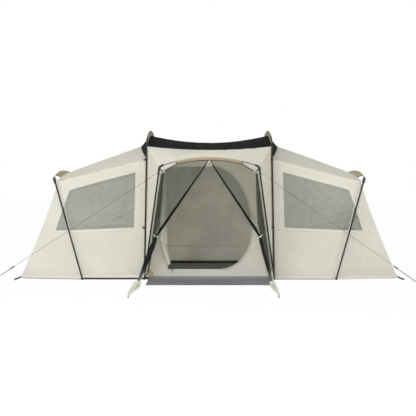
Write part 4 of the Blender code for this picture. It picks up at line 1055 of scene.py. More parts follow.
pole_paint = powder_coat("pole_coat", (0.027, 0.029, 0.022), 0.42)
socket_black = moulded("socket_black", (0.016, 0.016, 0.017))
rubber = moulded("foot_rubber", (0.012, 0.012, 0.012), 0.75, grain=300.0)
plated = finish("plated_steel", (0.50, 0.50, 0.49), 0.32, 1.0)
brushed = patches(plated.node_tree, 300.0)
two_tone(plated, (0.40, 0.40, 0.39), (0.56, 0.56, 0.55), brushed)
raised(plated, brushed, 0.00004)


def turned(name, base, tip, heights, radii, sides=28):
    """A round piece on the straight line from base to tip: its radius at each height."""
    base, tip = np.asarray(base, float), np.asarray(tip, float)
    axis = unit(tip - base)
    route = base + np.asarray(heights, float)[:, None] * axis
    return tube(name, route, radii, sides=sides, hint=(1.0, 0.13, 0.0))


def pole_leg(name, base, tip, body, capped=True, foot=FOOT_RADIUS):
    """A leg with its cap, swaged head and spring button. A capped one starts inside its foot, and
    the porch's, which is pinned at the foot, has a plain ferrule instead."""
    base, tip = np.asarray(base, float), np.asarray(tip, float)
    length = float(np.linalg.norm(tip - base))
    start = 0.027 if capped else 0.0045
    heights = [start, start + 0.001, length - 0.078, length - 0.072, length - 0.068,
               length - 0.002, length - 0.0006, length]
    wide, plain = LEG_RADIUS + 0.002, LEG_RADIUS
    radii = [plain - 0.001, plain, plain, plain + 0.0006, wide, wide, wide - 0.0003, wide - 0.001]
    dressed(turned(name, base, tip, heights, radii), pole_paint, body=body,
            node=name.replace("pole_", ""))
    heights = np.array([0.0, 0.04, 0.14, 0.30, 0.34, 0.38, 0.50, 0.54, 0.58, 0.86, 0.95, 1.0])
    radii = np.array([0.72, 0.90, 1.0, 1.0, 0.95, 1.0, 1.0, 0.95, 1.0, 1.0, 0.96, 0.74])
    cap = turned(name + "_cap", base, tip, heights * (FOOT_HEIGHT if capped else 0.012),
                 radii * (foot if capped else LEG_RADIUS))
    dressed(cap, rubber, body=body)
    axis = unit(tip - base)
    seat = base + axis * (length - 0.040)
    out = unit(np.cross(axis, (1.0, 0.0, 0.0)))
    out = out * (-1 if out[1] > 0 else 1)
    knob = turned(name + "_button", seat + out * (wide - 0.001), seat + out * (wide + 0.004),
                  [0, 0.0022, 0.0034, 0.0041, 0.0044], [0.0035, 0.0034, 0.0028, 0.0016, 0.0003], 14)
    dressed(knob, plated, body=body)


def wing_arch_point(side, y):
    """The wing arch: it bows outward and rises from elbow to elbow as a parabola."""
    rise = 1 - (np.asarray(y, float) / LEG_Y) ** 2
    return points_at(side * (WING_ELBOW_X + WING_ARCH_BOW * rise), y, WING_ELBOW_Z + WING_ARCH_RISE * rise)


wing_legs = {}
for side, word in SIDES:
    for face, end in FACES:
        pole_leg(f"pole_centre_leg_{end}_{word}", (side * BAY_FOOT_X, face * -LEG_Y, 0.0003),
                 (side * float(bay_x(JOINT_Z)), face * -LEG_Y, JOINT_Z), "tent")
        base = WING_FOOT * (side, -face, 1)
        elbow = wing_arch_point(side, face * -LEG_Y)
        up = unit(elbow - base)
        wing_legs[side, face] = (elbow - up * SOCKET_DEPTH, up)
        pole_leg(f"pole_wing_leg_{end}_{word}", base, elbow - up * SOCKET_DEPTH, "tent",
                 foot=WING_FOOT_RADIUS)

# The arches. The two centre ones are steel tube like the legs, bent over a former at their
# shoulders; the wing arches and the porch's are pultruded rods with a smooth black coat.
ARCH_RADIUS, ROD_RADIUS = 0.0080, 0.0055
ARCH_TOP_Z, ARCH_CORNER_Z, ARCH_BEND = 2.168, 2.030, 0.110
WING_ROD_Y, ROD_X = 1.500, 0.628
rod_black = moulded("rod_black", (0.020, 0.021, 0.020), 0.34, grain=900.0)


def bent(start, corner, stop, t):
    """A curve from start to stop that leaves and comes in along the lines to the corner point."""
    return (1 - t) ** 2 * start + 2 * t * (1 - t) * corner + t * t * stop


def centre_arch_route(side):
    """Up from the joint, round a shoulder (a curve with one control point), and over the roof as
    a parabola, then the same in reverse."""
    fall = (ARCH_TOP_Z - ARCH_CORNER_Z) / LEG_Y ** 2
    bend_y = LEG_Y + ARCH_BEND
    stop = np.array([bend_y, ARCH_TOP_Z - fall * bend_y ** 2])
    shoulder = bent(np.array([LEG_Y, ARCH_CORNER_Z - ARCH_BEND]), np.array([LEG_Y, ARCH_CORNER_Z]),
                    stop, np.linspace(0, 1, 22)[:, None])
    y = np.linspace(bend_y, 0, 26)[1:]
    half = np.concatenate([[(LEG_Y, JOINT_Z + 0.0003)], shoulder,
                           points_at(y, ARCH_TOP_Z - fall * y * y)])
    both = np.concatenate([half, half[-2::-1] * (-1, 1)])
    return points_at(side * bay_x(np.minimum(both[:, 1], FRONT_TOP_Z)), *both.T)


for side, word in SIDES:
    arch = tube(f"pole_centre_arch_{word}", centre_arch_route(side), ARCH_RADIUS, sides=24,
                hint=(1, 0, 0))
    dressed(arch, pole_paint, body="tent", node=f"centre_arch_{word}")
    y = np.linspace(-WING_ROD_Y, WING_ROD_Y, 70)
    rod = tube(f"wing_rod_{word}", wing_arch_point(side, y), ROD_RADIUS, sides=20)
    dressed(rod, rod_black, body="tent", node=f"wing_arch_{word}")


def arch_s(x):
    """Height up the porch plane of the porch arch: a parabola between its two elbows."""
    rise = slope(AWNING_TOP_Z) - slope(AWNING_ELBOW_Z)
    return slope(AWNING_TOP_Z) - rise * (np.asarray(x, float) / AWNING_ELBOW_X) ** 2


x = np.linspace(-ROD_X, ROD_X, 70)
rod = tube("porch_rod", awning_point(x, arch_s(x)), ROD_RADIUS, sides=20)
dressed(rod, rod_black, body="awning", node="awning_arch")
porch_legs = {}
for side, word in SIDES:
    base = awning_point(side * BAY_FOOT_X, 0)
    elbow = awning_point(side * AWNING_ELBOW_X, slope(AWNING_ELBOW_Z))
    top = lerp(elbow, base, AWNING_SOCKET_DEPTH / slope(AWNING_ELBOW_Z))
    porch_legs[side] = (top, unit(elbow - base))
    pole_leg(f"pole_awning_leg_{word}", base, top, "awning", capped=False)

# The corner sockets. Black moulded nylon elbows with a web inside the bend and a thick collar at
# each mouth, one pushed on the leg's head and the other on the rod's end. The porch's have a hook
# underneath for the roof's corner.
COLLAR, WING_SOCKET_BULK = 0.018, 1.25
LEG_MOUTH, ROD_MOUTH, LIP_ROUND = 0.0185, 0.0140, 0.0012
WAIST, WAIST_TAPER, RIB_RISE, WEB_HALF = 0.0172, 0.0030, 0.0006, 0.0085
PRONG_X, PRONG_Z = 0.646, 1.579


def moulding(made, body="tent", node=None, material=None):
    """A piece of the black nylon, or of another plastic."""
    return dressed(made, material or socket_black, body=body, node=node)


def elbow_route(leg_top, up, rod_end, out):
    """Straight out of the leg, round the corner as a cubic curve, and straight into the rod."""
    first, last = leg_top + up * COLLAR, rod_end + out * COLLAR
    reach = 0.45 * np.linalg.norm(last - first)
    t = np.linspace(0, 1, 24)[:, None]
    bend = ((1 - t) ** 3 * first + 3 * t * (1 - t) ** 2 * (first + up * reach)
            + 3 * t * t * (1 - t) * (last + out * reach) + t ** 3 * last)
    s = np.linspace(0.0003, COLLAR, 9)[:-1, None]
    return np.concatenate([leg_top + up * s, bend, (rod_end + out * s)[::-1]])


def socket(place, route, face, body, node, bulk=1.0):
    """An elbow with a web. Radius along the route: two collars with a rounded lip each, and a
    waist between them, with low ribs round it, that tapers to the rod. The web fills the inside
    of the bend: a plate from the elbow's middle line most of the way to the chord."""
    t = np.linspace(0, 1, len(route))
    ribs_round = np.cos(2 * math.pi * 9 * t) * (abs(t - 0.5) < 0.28)
    waist = WAIST - WAIST_TAPER * t + RIB_RISE * ribs_round
    radii = np.where(t < 0.19, LEG_MOUTH, np.where(t > 0.81, ROD_MOUTH, waist))
    radii[[0, -1]] -= LIP_ROUND
    made = tube(place, route, radii * bulk, sides=26, hint=(1, 0, 0))
    across = route[np.linspace(6, 33, 15).astype(int)]
    chord = lerp(across[0], across[-1], np.linspace(0, 1, 15)[:, None])
    fan = lerp(across, chord, np.linspace(0, 0.85, 9)[:, None, None])
    bulge = WEB_HALF * np.sqrt(1 - np.linspace(0, 1, 9)[:, None, None] ** 4)
    plate = np.concatenate([fan + face * bulge, (fan - face * bulge)[::-1]])
    web = shape(place.replace("socket", "socket_web"), plate, closed=True)
    moulding(web, body)
    moulding(made, body, node)


def wing_socket_route(side, face):
    """The wing socket's middle line, and the direction in which it meets the rod."""
    ends = wing_arch_point(side, face * np.array([WING_ROD_Y, WING_ROD_Y - 0.1]))
    out = unit(ends[0] - ends[1])
    return elbow_route(*wing_legs[side, face], ends[0], out), out


out_of_porch = awning_point(0, 0, 1) - awning_point(0, 0, 0)
for side, word in SIDES:
    for face, end in FACES:
        route, out = wing_socket_route(side, face)
        socket(f"wing_socket_{end}_{word}", route, unit(np.cross(wing_legs[side, face][1], out)),
               "tent", f"wing_elbow_{end}_{word}", WING_SOCKET_BULK)
    x = side * np.array([ROD_X, ROD_X - 0.05])
    ends = awning_point(x, arch_s(x))
    route = elbow_route(*porch_legs[side], ends[0], unit(ends[0] - ends[1]))
    socket(f"porch_socket_{word}", route, out_of_porch, "awning", f"awning_elbow_{word}")
    hook_end = awning_point(side * PRONG_X, slope(PRONG_Z + 0.010))
    t = np.linspace(0, 1, 22)
    arm = lerp(route[14], hook_end, t[:, None]) + np.outer(0.012 * t, out_of_porch)
    arm = arm + np.outer(0.007 * np.sin(math.pi * t) ** 2, unit((side, 0, 0)))
    arm = np.concatenate([arm, arm[-1] + [(-side * 0.004, 0, -0.003), (-side * 0.007, 0, 0.002)]])
    finger = tube(f"porch_hook_{word}", arm, np.linspace(0.0090, 0.0062, len(arm)), sides=16,
                  hint=(0, 1, 0))
    moulding(finger, "awning")

# The pole sleeves. Strips of tan polyester folded over the five arches and sewn down to the roofs
# with a double seam, slightly puckered where the thread draws them in.
AWNING_SLEEVE_X, AWNING_FIN = 0.446, 0.036
CENTRE_SLEEVE_Y, WING_SLEEVE_Y = 1.25, 1.10
SLEEVE_GAP, FIN_HALF, ROUND_FROM = 0.0021, 0.0018, math.radians(78)
sleeve_tan = canvas("sleeve_canvas", (0.475, 0.392, 0.262), (0.405, 0.328, 0.210), see_through=0.12,
                    crease=0.001, soil=0.0)
tan_tape = stitched("tan_tape", (0.440, 0.363, 0.240), (0.290, 0.230, 0.145))


def sleeve(name, route, seam, radius, body, node, seed):
    """A strip over a pole: up from the seam, round the pole, and down to the seam again, with
    small puckers along it that fade towards the round."""
    drop, aside = square_to(route, seam - route)
    reach = ((seam - route) * drop).sum(1)[:, None]
    turn = np.linspace(ROUND_FROM, 2 * math.pi - ROUND_FROM, 25)[None, :]
    ring = radius + SLEEVE_GAP
    low = np.linspace(1, 0, 9)[:-1][None, :]
    waist = FIN_HALF + (ring * math.sin(ROUND_FROM) - FIN_HALF) * (1 - low) ** 0.7 + 0 * reach
    bottom = ring * math.cos(ROUND_FROM)
    fin = bottom + (reach - 0.0003 - bottom) * low
    depth = np.concatenate([fin, ring * np.cos(turn) + 0 * reach, fin[:, ::-1]], 1)
    width = np.concatenate([waist, ring * np.sin(turn) + 0 * reach, -waist[:, ::-1]], 1)
    place = np.linspace(0, 1, len(route))[:, None]
    draw = np.random.default_rng(seed)
    beat = sum(a * np.sin(2 * math.pi * f * place + p) for a, f, p in
               zip((0.5, 0.35, 0.3), (23, 37, 61), draw.uniform(0, 6.3, 3)))
    near = np.clip(depth / np.maximum(reach, 1e-6), 0, 1)
    width = width * (1 + 0.55 * beat * near) + 0.0006 * beat * near
    made = shape(name, carried(route, drop, aside, depth, width), outward=-drop.sum(0))
    dressed(thick(made, LIGHT_CLOTH), sleeve_tan, body=body, node=node)
    face = aside if aside.sum(0)[1] < 0 else -aside
    hems = [sewn(f"{name}_hem_{label}", route + drop * (reach - 0.0075) + sign * face * 0.0026,
                 sign * face, tan_tape, proud=0.0008, body=body, slot="tan_cloth")
            for label, sign in (("near", 1), ("far", -1))]
    sheet_of(made)


for side, word in SIDES:
    fine = centre_arch_route(side)
    y = np.linspace(-CENTRE_SLEEVE_Y, CENTRE_SLEEVE_Y, 150)
    route = points_at(*(np.interp(y, fine[:, 1], place) for place in fine.T))
    seam = points_at(side * BAY_TOP_X, y, hoop_cloth_z(y) + 0.0006)
    sleeve(f"centre_sleeve_cloth_{word}", route, seam, ARCH_RADIUS, "tent",
           f"centre_sleeve_{word}", 5 + side)
    y = np.linspace(-WING_SLEEVE_Y, WING_SLEEVE_Y, 140)
    seam = points_at(side * WING_TOP_X, y, outer_edge_z(y) + 0.0003)
    sleeve(f"wing_sleeve_cloth_{word}", wing_arch_point(side, y), seam, ROD_RADIUS, "tent",
           f"wing_sleeve_{word}", 15 + side)
x = np.linspace(-AWNING_SLEEVE_X, AWNING_SLEEVE_X, 110)
sleeve("porch_sleeve", awning_point(x, arch_s(x)), awning_point(x, arch_s(x) - AWNING_FIN),
       ROD_RADIUS, "awning", "awning_sleeve", 33)


# The porch roof and its side gussets. Cream polyester from the head of the front wall to the porch
# hoop's sleeve, stretched to its corners by the sockets' hooks, with a gusset sewn under each side
# edge.
SEAM_GAP, PORCH_BELLY = 0.0012, 0.020
HOOK_TAPE_N = -0.0041
GUSSET_FOOT_Z, LEG_TAPE_FOOT_Z, STOP_RADIUS = 0.080, 0.110, 0.0062


def edge_s(x):
    """Lower edge of the porch sleeve, then a straight fall to the hook at the corner."""
    x = np.abs(x)
    past = np.clip((x - AWNING_SLEEVE_X) / (PRONG_X - AWNING_SLEEVE_X), 0, 1)
    end = arch_s(AWNING_SLEEVE_X) - AWNING_FIN
    return np.where(x > AWNING_SLEEVE_X, lerp(end, slope(PRONG_Z), past), arch_s(x) - AWNING_FIN)


def slackens(made, share):
    """The piece hangs between the tent and the porch hoop. Its place is baked into its mesh, and
    share, each point's share of the way from the wall's seam at 0 to the hoop's at 1, is read but not used."""
    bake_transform(made)
    share = np.ascontiguousarray(share, dtype=np.float32).ravel()
    return made


porch_cream = canvas("porch_canvas", (0.915, 0.908, 0.840), (0.868, 0.858, 0.785), see_through=0.50)
u = np.linspace(-1, 1, 100)[None, :]
t = np.linspace(0, 1, 60)[:, None]
wall_x = u * (BAY_TOP_X - 2 * BUTT)
wall_seam = points_at(wall_x, -HALF_DEPTH - SEAM_GAP, mesh_roof_z(wall_x, HALF_DEPTH) - BUTT)
hoop_seam = awning_point(u * PRONG_X, edge_s(u * PRONG_X) + 0.010, HOOK_TAPE_N)
roof_rows = lerp(wall_seam, hoop_seam, t[..., None])
crease = relief(roof_rows[..., 0], roof_rows[..., 1] + 2.0, 12, depth=0.0034, folds=20,
                size=(1.6, 1.0), length=0.6, width=0.13)
crease = crease * held_at_edges(t) * held_at_edges((u + 1) / 2)
roof_rows[..., 2] += PORCH_BELLY * np.sin(math.pi * t) * (1 - u * u) + np.clip(crease, -0.008, 0.008)
porch_roof = shape("porch_roof", roof_rows, outward=(0, -0.3, 1))
slackens(porch_roof, t * np.ones_like(u))
dressed(thick(porch_roof, CLOTH), porch_cream, node="awning_roof")
roof_trims = [sewn("porch_roof_head", roof_rows[0] + (0, -0.003, 0.001), (0, -1, 0.8), cream_tape,
                   proud=0.0009)]
for side, word in SIDES:
    edge = roof_rows[:, -1 if side > 0 else 0] + (0, 0, 0.0006)
    tape = sewn(f"porch_corner_seam_{word}", edge, (side, 0, 1.0), cream, width=0.010, proud=0.0014,
                body=None)
    roof_trims.append(slackens(tape, np.repeat(t[:, 0], 7)))
sheet_of(porch_roof)

up = np.linspace(0, 1, 80)[:, None]
across = np.linspace(0, 1, 50)[None, :]
for side, word in SIDES:
    z = lerp(FOOT_HEIGHT + 0.025, mesh_roof_z(BAY_TOP_X - 2 * BUTT, HALF_DEPTH) - BUTT - 0.001, up)
    inset = lerp(LEG_RADIUS + 0.0025, 2 * BUTT, up ** 6)
    back = points_at(bay_x(z) - inset, -HALF_DEPTH - SEAM_GAP, z)
    s = lerp(slope(GUSSET_FOOT_Z), slope(PRONG_Z) + 0.009, up)
    corner = np.clip((up - 0.8) / 0.2, 0, 1)
    front = awning_point(lerp(awning_leg_x(s) - LEG_RADIUS - 0.004, PRONG_X + 0.001, corner), s,
                         lerp(-LEG_RADIUS - 0.004, HOOK_TAPE_N, corner ** 3))
    rows = lerp(back, front, across[..., None])
    rows[..., 0] += creased(across, up, 0.007, across * 0.9 - 0.45, z - 1.0, 31 + side,
                            depth=0.0045, folds=24, size=(0.9, 1.8), length=0.6, width=0.12,
                            toward=(0.45, 0.6))
    rows = rows * (side, 1, 1)
    gusset = shape(f"gusset_{word}", rows, outward=(side, 0, 0))
    slackens(gusset, across * np.ones_like(up))
    dressed(thick(gusset, CLOTH), porch_cream, node=f"awning_gusset_{word}")
    s = np.linspace(slope(LEG_TAPE_FOOT_Z), slope(PRONG_Z) - 0.03, 90)
    down_leg = awning_point(side * (awning_leg_x(s) - LEG_RADIUS - 0.012), s, -0.004)
    trims = [sewn(f"gusset_hem_{word}", rows[:, -1], (side, 0, 0), cream_tape, width=0.010,
                  proud=0.0012, body="awning"),
             sewn(f"gusset_seam_{word}", rows[:, 0] + (side * 0.0004, -0.004, 0), (side, 0, 0),
                  cream_tape, width=0.010, proud=0.0012),
             sewn(f"leg_tape_{word}", down_leg, out_of_porch + (side * 0.9, 0, 0), cream_tape,
                  width=0.022, body="awning")]
    sheet_of(gusset)

    x = side * (AWNING_SLEEVE_X + 0.009)
    drop = awning_point(x, arch_s(x) + np.linspace(0.002, -0.040, 20), 0.001)
    toe = awning_point(np.array([-0.003, -0.009]) * side, -0.001) - awning_point(0, 0)
    stop = tube(f"rod_stop_{word}", np.concatenate([drop, drop[-1:] + toe]), STOP_RADIUS, sides=14,
                hint=(0, 1, 0))
    moulding(stop, "awning")
    catch = awning_point(side * np.linspace(PRONG_X - 0.034, PRONG_X + 0.006, 26),
                         slope(PRONG_Z) + np.linspace(0.012, 0.004, 26),
                         0.004 + 0.010 * np.sin(np.linspace(0, math.pi, 26)))
    thick(sewn(f"hook_strap_{word}", catch, out_of_porch, cream_tape, width=0.016, proud=0.0012,
               body="awning"), CLOTH)

# The two mesh curtains. Fine black netting sewn to the sleeve's lower edge and to the tape beside
# each leg. Its slack lies folded in a narrow stack beside the leg, from the corner to the foot, and
# the rest is drawn flat to a tie at knee height, with a few pleats that run together there.
TIE_X = {-1: 0.747, 1: 0.712}
TIE_Z = 0.672
LEG_TAPE = 0.030
ROLL_TOP_RADIUS, ROLL_RADIUS = 0.010, 0.024
PLEATS, LAYERS, LAYER_RISE, STACK_PROUD = 11, 6, 0.0014, 0.0075
PLEAT_WIDTH, FOLDS = 0.020, ((0.30, 0.25), (0.45, 0.05), (0.60, 0.35), (0.74, 0.10), (0.88, 0.20))
STACK_WIDTH = {-1: (0.062, 0.094, 0.082, 0.040, 0.020), 1: (0.038, 0.082, 0.104, 0.076, 0.028)}
ROLL_START = np.array([0.010, float(edge_s(0)) - 0.012])


def gathered(ratio, phase):
    """Rows of cloth pushed together to a share of their width, place by place. Its direction
    swings from side to side with the phase, as a river bends, by the angle at which it gets on by
    that share. Place and depth are the running sums of that direction's cosine and sine, per
    width of cloth."""
    swing = np.linspace(0, 2.35, 120)
    wave = np.sin(np.linspace(0, 2 * math.pi, 200, endpoint=False))
    advance = np.cos(swing[:, None] * wave).mean(1)
    angle = np.interp(-np.asarray(ratio), -advance, swing) * np.sin(phase)[None, :]
    place = np.cumsum(np.cos(angle), 1) / angle.shape[1]
    depth = np.cumsum(np.sin(angle), 1) / angle.shape[1]
    place = (place - place[:, :1]) / (place[:, -1:] - place[:, :1])
    return place, depth - lerp(depth[:, :1], depth[:, -1:], np.linspace(0, 1, len(phase)))


def curtain_place(side, u, v):
    """Across and up the porch plane: from the leg's tape at u 0 to the rolled edge at u 1, and
    from the top at v 0 to the tie at 1."""
    x = PRONG_X * (1 - u)
    top = points_at(x, edge_s(x) - 0.0003)
    knee = slope(TIE_Z)
    tie = np.array([TIE_X[side], knee])
    near = tie[0] + ROLL_RADIUS
    waist = points_at(lerp(awning_leg_x(knee) - LEG_TAPE, near, u), knee)
    aside = unit(tie - ROLL_START)[::-1] * (-1, 1)
    v = v[..., None]
    edge = lerp(ROLL_START, tie, v) + aside * (lerp(ROLL_TOP_RADIUS, ROLL_RADIUS, v) + 0.0006)
    straight = lerp(np.array([0.0, float(edge_s(0))]), np.array([near, knee]), v)
    return lerp(top, waist, v) + (edge - straight) * np.clip(u, 0, 1.05)[..., None] ** 8


screen = netting("screen_netting", (0.058, 0.066, 0.050), cover=0.30, pitch=0.0036)
for side, word in SIDES:
    u = np.linspace(0, 1, PLEATS * 16 + 1)
    v = np.linspace(0, 1, 90)
    drift = 0.20 * np.sin(2 * math.pi * (1.3 * u + 0.2 * side)) + 0.11 * np.sin(2 * math.pi * 3.1 * u)
    edges = curtain_place(side, np.array([0.0, 1.0]), v[:, None])
    width = np.linalg.norm(edges[:, 1] - edges[:, 0], axis=-1)[:, None]
    share = np.full((len(v), len(u)), 0.972)
    for fold, rise in FOLDS:
        deep = 0.86 * np.clip((v[:, None] - rise) / 0.4, 0, 1) ** 1.5
        share = share - deep * np.exp(-((u - fold - 0.02 * side) / PLEAT_WIDTH) ** 2)
    place, depth = gathered(share, 2 * math.pi * (PLEATS * u + drift))
    spot = curtain_place(side, place, v[:, None])
    rows = awning_point(side * spot[..., 0], spot[..., 1], 0.002 + depth * width)
    curtain = shape(f"curtain_net_{word}", rows, outward=out_of_porch)
    dressed(curtain, screen, body="awning", node=f"curtain_{word}")
    u = np.linspace(0, 1, LAYERS * 14 + 1)
    v = np.linspace(0, 2, 130)[:, None]
    s = lerp(slope(PRONG_Z) - 0.012, slope(LEG_TAPE_FOOT_Z), v / 2)
    reach = np.interp(v, (0, 0.6, 1, 1.5, 2), STACK_WIDTH[side])
    uneven = 1 - 0.34 * (0.5 + 0.5 * np.sin(9.7 * u + 1.6 * v + side)) + 0.05 * np.sin(4 * v - 7 * u)
    across = awning_leg_x(s) - LEG_TAPE - reach * uneven * (0.5 - 0.5 * np.cos(math.pi * LAYERS * u))
    layer = STACK_PROUD + LAYER_RISE * LAYERS * u + 0.0010 * np.sin(5 * v + 11 * u)
    slack = shape(f"curtain_slack_{word}", awning_point(side * across, s, layer), outward=out_of_porch)
    dressed(slack, screen, body="awning")
    sheet_of(slack)
    x = np.linspace(0.004, PRONG_X, 70)
    hem = sewn(f"curtain_head_{word}", awning_point(side * x, edge_s(x) - 0.004, 0.0052), out_of_porch,
               black_binding, width=0.010, body="awning", slot="screen_mesh")
    sheet_of(curtain)

# The rolled edges of the curtains. The free half of each curtain is rolled up on its zip into a
# black bundle, drawn in by the tie, from which its tail runs forward and out to the ground.
TAIL_SPREAD = {-1: 0.60, 1: 0.15}
TIP = {-1: np.array([-0.984, -2.425, 0.062]), 1: np.array([0.867, -2.425, 0.062])}
BUNDLE_BLACK, BUNDLE_PALE_LOW = (0.018, 0.018, 0.017), (0.16, 0.16, 0.15)
TIE_RADIUS, TOGGLE_RADIUS, TOGGLE_LENGTH = 0.036, 0.0080, 0.052


def rolled(name, route, radii, turns, hint, seed, uneven=0.05):
    """A sheet rolled up along a route: round each point it winds outward from an eighth of the
    radius there, so that its free edge shows as a lap. The lap drifts round the roll, and the
    turns are a little uneven, as waves of the angle and the distance."""
    turn = np.linspace(0, 2 * math.pi * turns, int(26 * turns))[None, :]
    run = distance_along(route)[:, None]
    start = np.random.default_rng(seed).uniform(0, 6, 4)
    angle = turn + 0.9 * np.sin(2.1 * run + start[0]) + 0.25 * np.sin(9 * run + start[1])
    wave = np.cos(2 * angle + 7 * run + start[2]) + 0.6 * np.cos(3 * angle - 19 * run + start[3])
    reach = np.asarray(radii)[:, None] * lerp(0.125, 1, turn / turn[0, -1]) * (1 + uneven * wave)
    rows = carried(route, *square_to(route, hint), reach * np.cos(angle), reach * np.sin(angle))
    return shape(name, rows, outward=(0, 0, 1))


def bowed(a, b, t, bow):
    """From a at 0 to b at 1, moved by bow at the middle, as half a sine wave."""
    return lerp(a, b, t) + np.sin(math.pi * t) * bow


def softened(route, passes):
    """The route with its corners rounded: each inner point moves to the mean of its neighbours,
    this many times."""
    route = np.array(route, float)
    for _ in range(passes):
        route[1:-1] = (route[:-2] + 2 * route[1:-1] + route[2:]) / 4
    return route


def barrel(name, middle, axis, length, radius, material, body="tent"):
    """A small toggle: a cylinder with rounded ends and a waist."""
    t = np.linspace(-1, 1, 21)
    profile = radius * np.sqrt(np.clip(1 - np.abs(t) ** 6, 0.02, 1)) * (1 - 0.18 * np.exp(-18 * t * t))
    made = tube(name, middle + np.outer(t * length / 2, unit(axis)), profile, sides=18,
                hint=(0.2, 0.3, 1.0))
    moulding(made, body, material=material)


toggle_white = moulded("toggle_white", (0.70, 0.69, 0.64), 0.4)
bundle_net = netting("bundle_netting", BUNDLE_BLACK, cover=0.86, pitch=0.0036, patchy=0.10)
# The bundle's netting is paler grey within 0.07 m of the ground and black from 0.24 m up.
off_ground = ranged(bundle_net.node_tree, height_of(bundle_net.node_tree), 0.0, 1.0, 0.07, 0.24)
two_tone(bundle_net, BUNDLE_PALE_LOW, BUNDLE_BLACK, off_ground)
strap_cream = stitched("strap_cream", (0.66, 0.65, 0.57), (0.45, 0.44, 0.37), seam=0.007, inset=0.0020)
for side, word in SIDES:
    knee = slope(TIE_Z)
    t = np.linspace(0, 1, 70)[:, None]
    upper = lerp(ROLL_START, np.array([TIE_X[side], knee]), t)
    upper = awning_point(side * upper[:, 0], upper[:, 1], 0.004)
    tie = awning_point(side * TIE_X[side], knee)
    tail = bowed(tie, TIP[side], t, (0, 0, -0.010))
    route = softened(np.concatenate([upper, tail[1:]]), 30)
    run = np.linspace(0, 2, len(route))
    swell = 1 + TAIL_SPREAD[side] * np.sin(math.pi * np.clip((run - 1) * 1.2, 0, 1))
    radii = np.where(run < 1, lerp(ROLL_TOP_RADIUS, ROLL_RADIUS, run), ROLL_RADIUS * swell)
    drawn_in = 1 - 0.34 * np.exp(-((run - 1) / 0.045) ** 2)
    radii = radii * drawn_in * (1 - 3.5 * np.clip(run - 1.9, 0, 1))
    roll = rolled(f"rolled_edge_{word}", route, radii, 4, (0, 1, 1), 50 + side)
    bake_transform(roll)
    follow(roll, TIP[side], tie, [0.0, 1.0])
    dressed(roll, bundle_net, node=f"curtain_roll_{word}")
    a = np.linspace(0, 2 * math.pi, 60)
    loop = awning_point(side * (TIE_X[side] + 0.006 + TIE_RADIUS * np.cos(a)), knee + 0.014 * np.cos(a),
                        0.006 + TIE_RADIUS * np.sin(a))
    strap = thick(sewn(f"tie_strap_{word}", loop, unit(loop - loop.mean(0)), strap_cream,
                       width=0.018, body="awning"), CLOTH)
    barrel(f"tie_toggle_{word}", awning_point(side * TIE_X[side], knee, TOGGLE_LENGTH), (1, 0, 0.35),
           TOGGLE_LENGTH, TOGGLE_RADIUS, toggle_white, "awning")
    hanging = awning_point(side * 0.016 * np.linspace(0.5, 2.6, 24),
                           edge_s(0) + np.linspace(-0.012, -0.078, 24), 0.0148)
    strip = thick(sewn(f"apex_strip_{word}", hanging, out_of_porch, strap_cream, width=0.007,
                       proud=0.0012, body="awning"), LIGHT_CLOTH)
    sheet_of(roll)
barrel("apex_toggle", awning_point(0, edge_s(0) - 0.012, 0.022), (1, 0, 0), 0.028, 0.0060,
       toggle_white, "awning")

# The hem flaps on the ground. At each tail's end a strip of the curtain's cream hem lies out to
# the front, held by a black loop on a moulded peg, and a band of it runs up to the leg's foot.
SKIRT_WIDTH = {-1: 0.115, 1: 0.085}
SKIRT_END = {-1: np.array([-1.050, -3.635]), 1: np.array([0.905, -3.635])}
SKIRT_PEG = {-1: np.array([-1.034, -4.125]), 1: np.array([0.888, -4.125])}
LOOP_RADIUS, LOOP_HALF_WIDTH, LOOP_Z, PEG_RADIUS = 0.0026, 0.008, 0.0048, 0.0040
BAND_FOOT_Z, BAND_WIDTH = 0.150, 0.030
PEG_SHAPE = ((0, 0.004, 0.0045), (0, -0.012, 0.0045), (0, -0.026, 0.008), (0, -0.030, 0.020),
             (0, -0.029, 0.030), (0, -0.024, 0.038))


def bent_wire(name, points, peg, radii, material):
    """A bent peg head: a rod through a few points about the peg's place, with its bends eased."""
    points = np.asarray(points) + (peg[0], peg[1], 0)
    place = np.linspace(0, len(points) - 1, 30)
    route = points_at(*(np.interp(place, range(len(points)), part) for part in points.T))
    made = tube(name, softened(route, 4), radii, sides=14, hint=(1, 0, 0))
    dressed(made, material, body="tent")


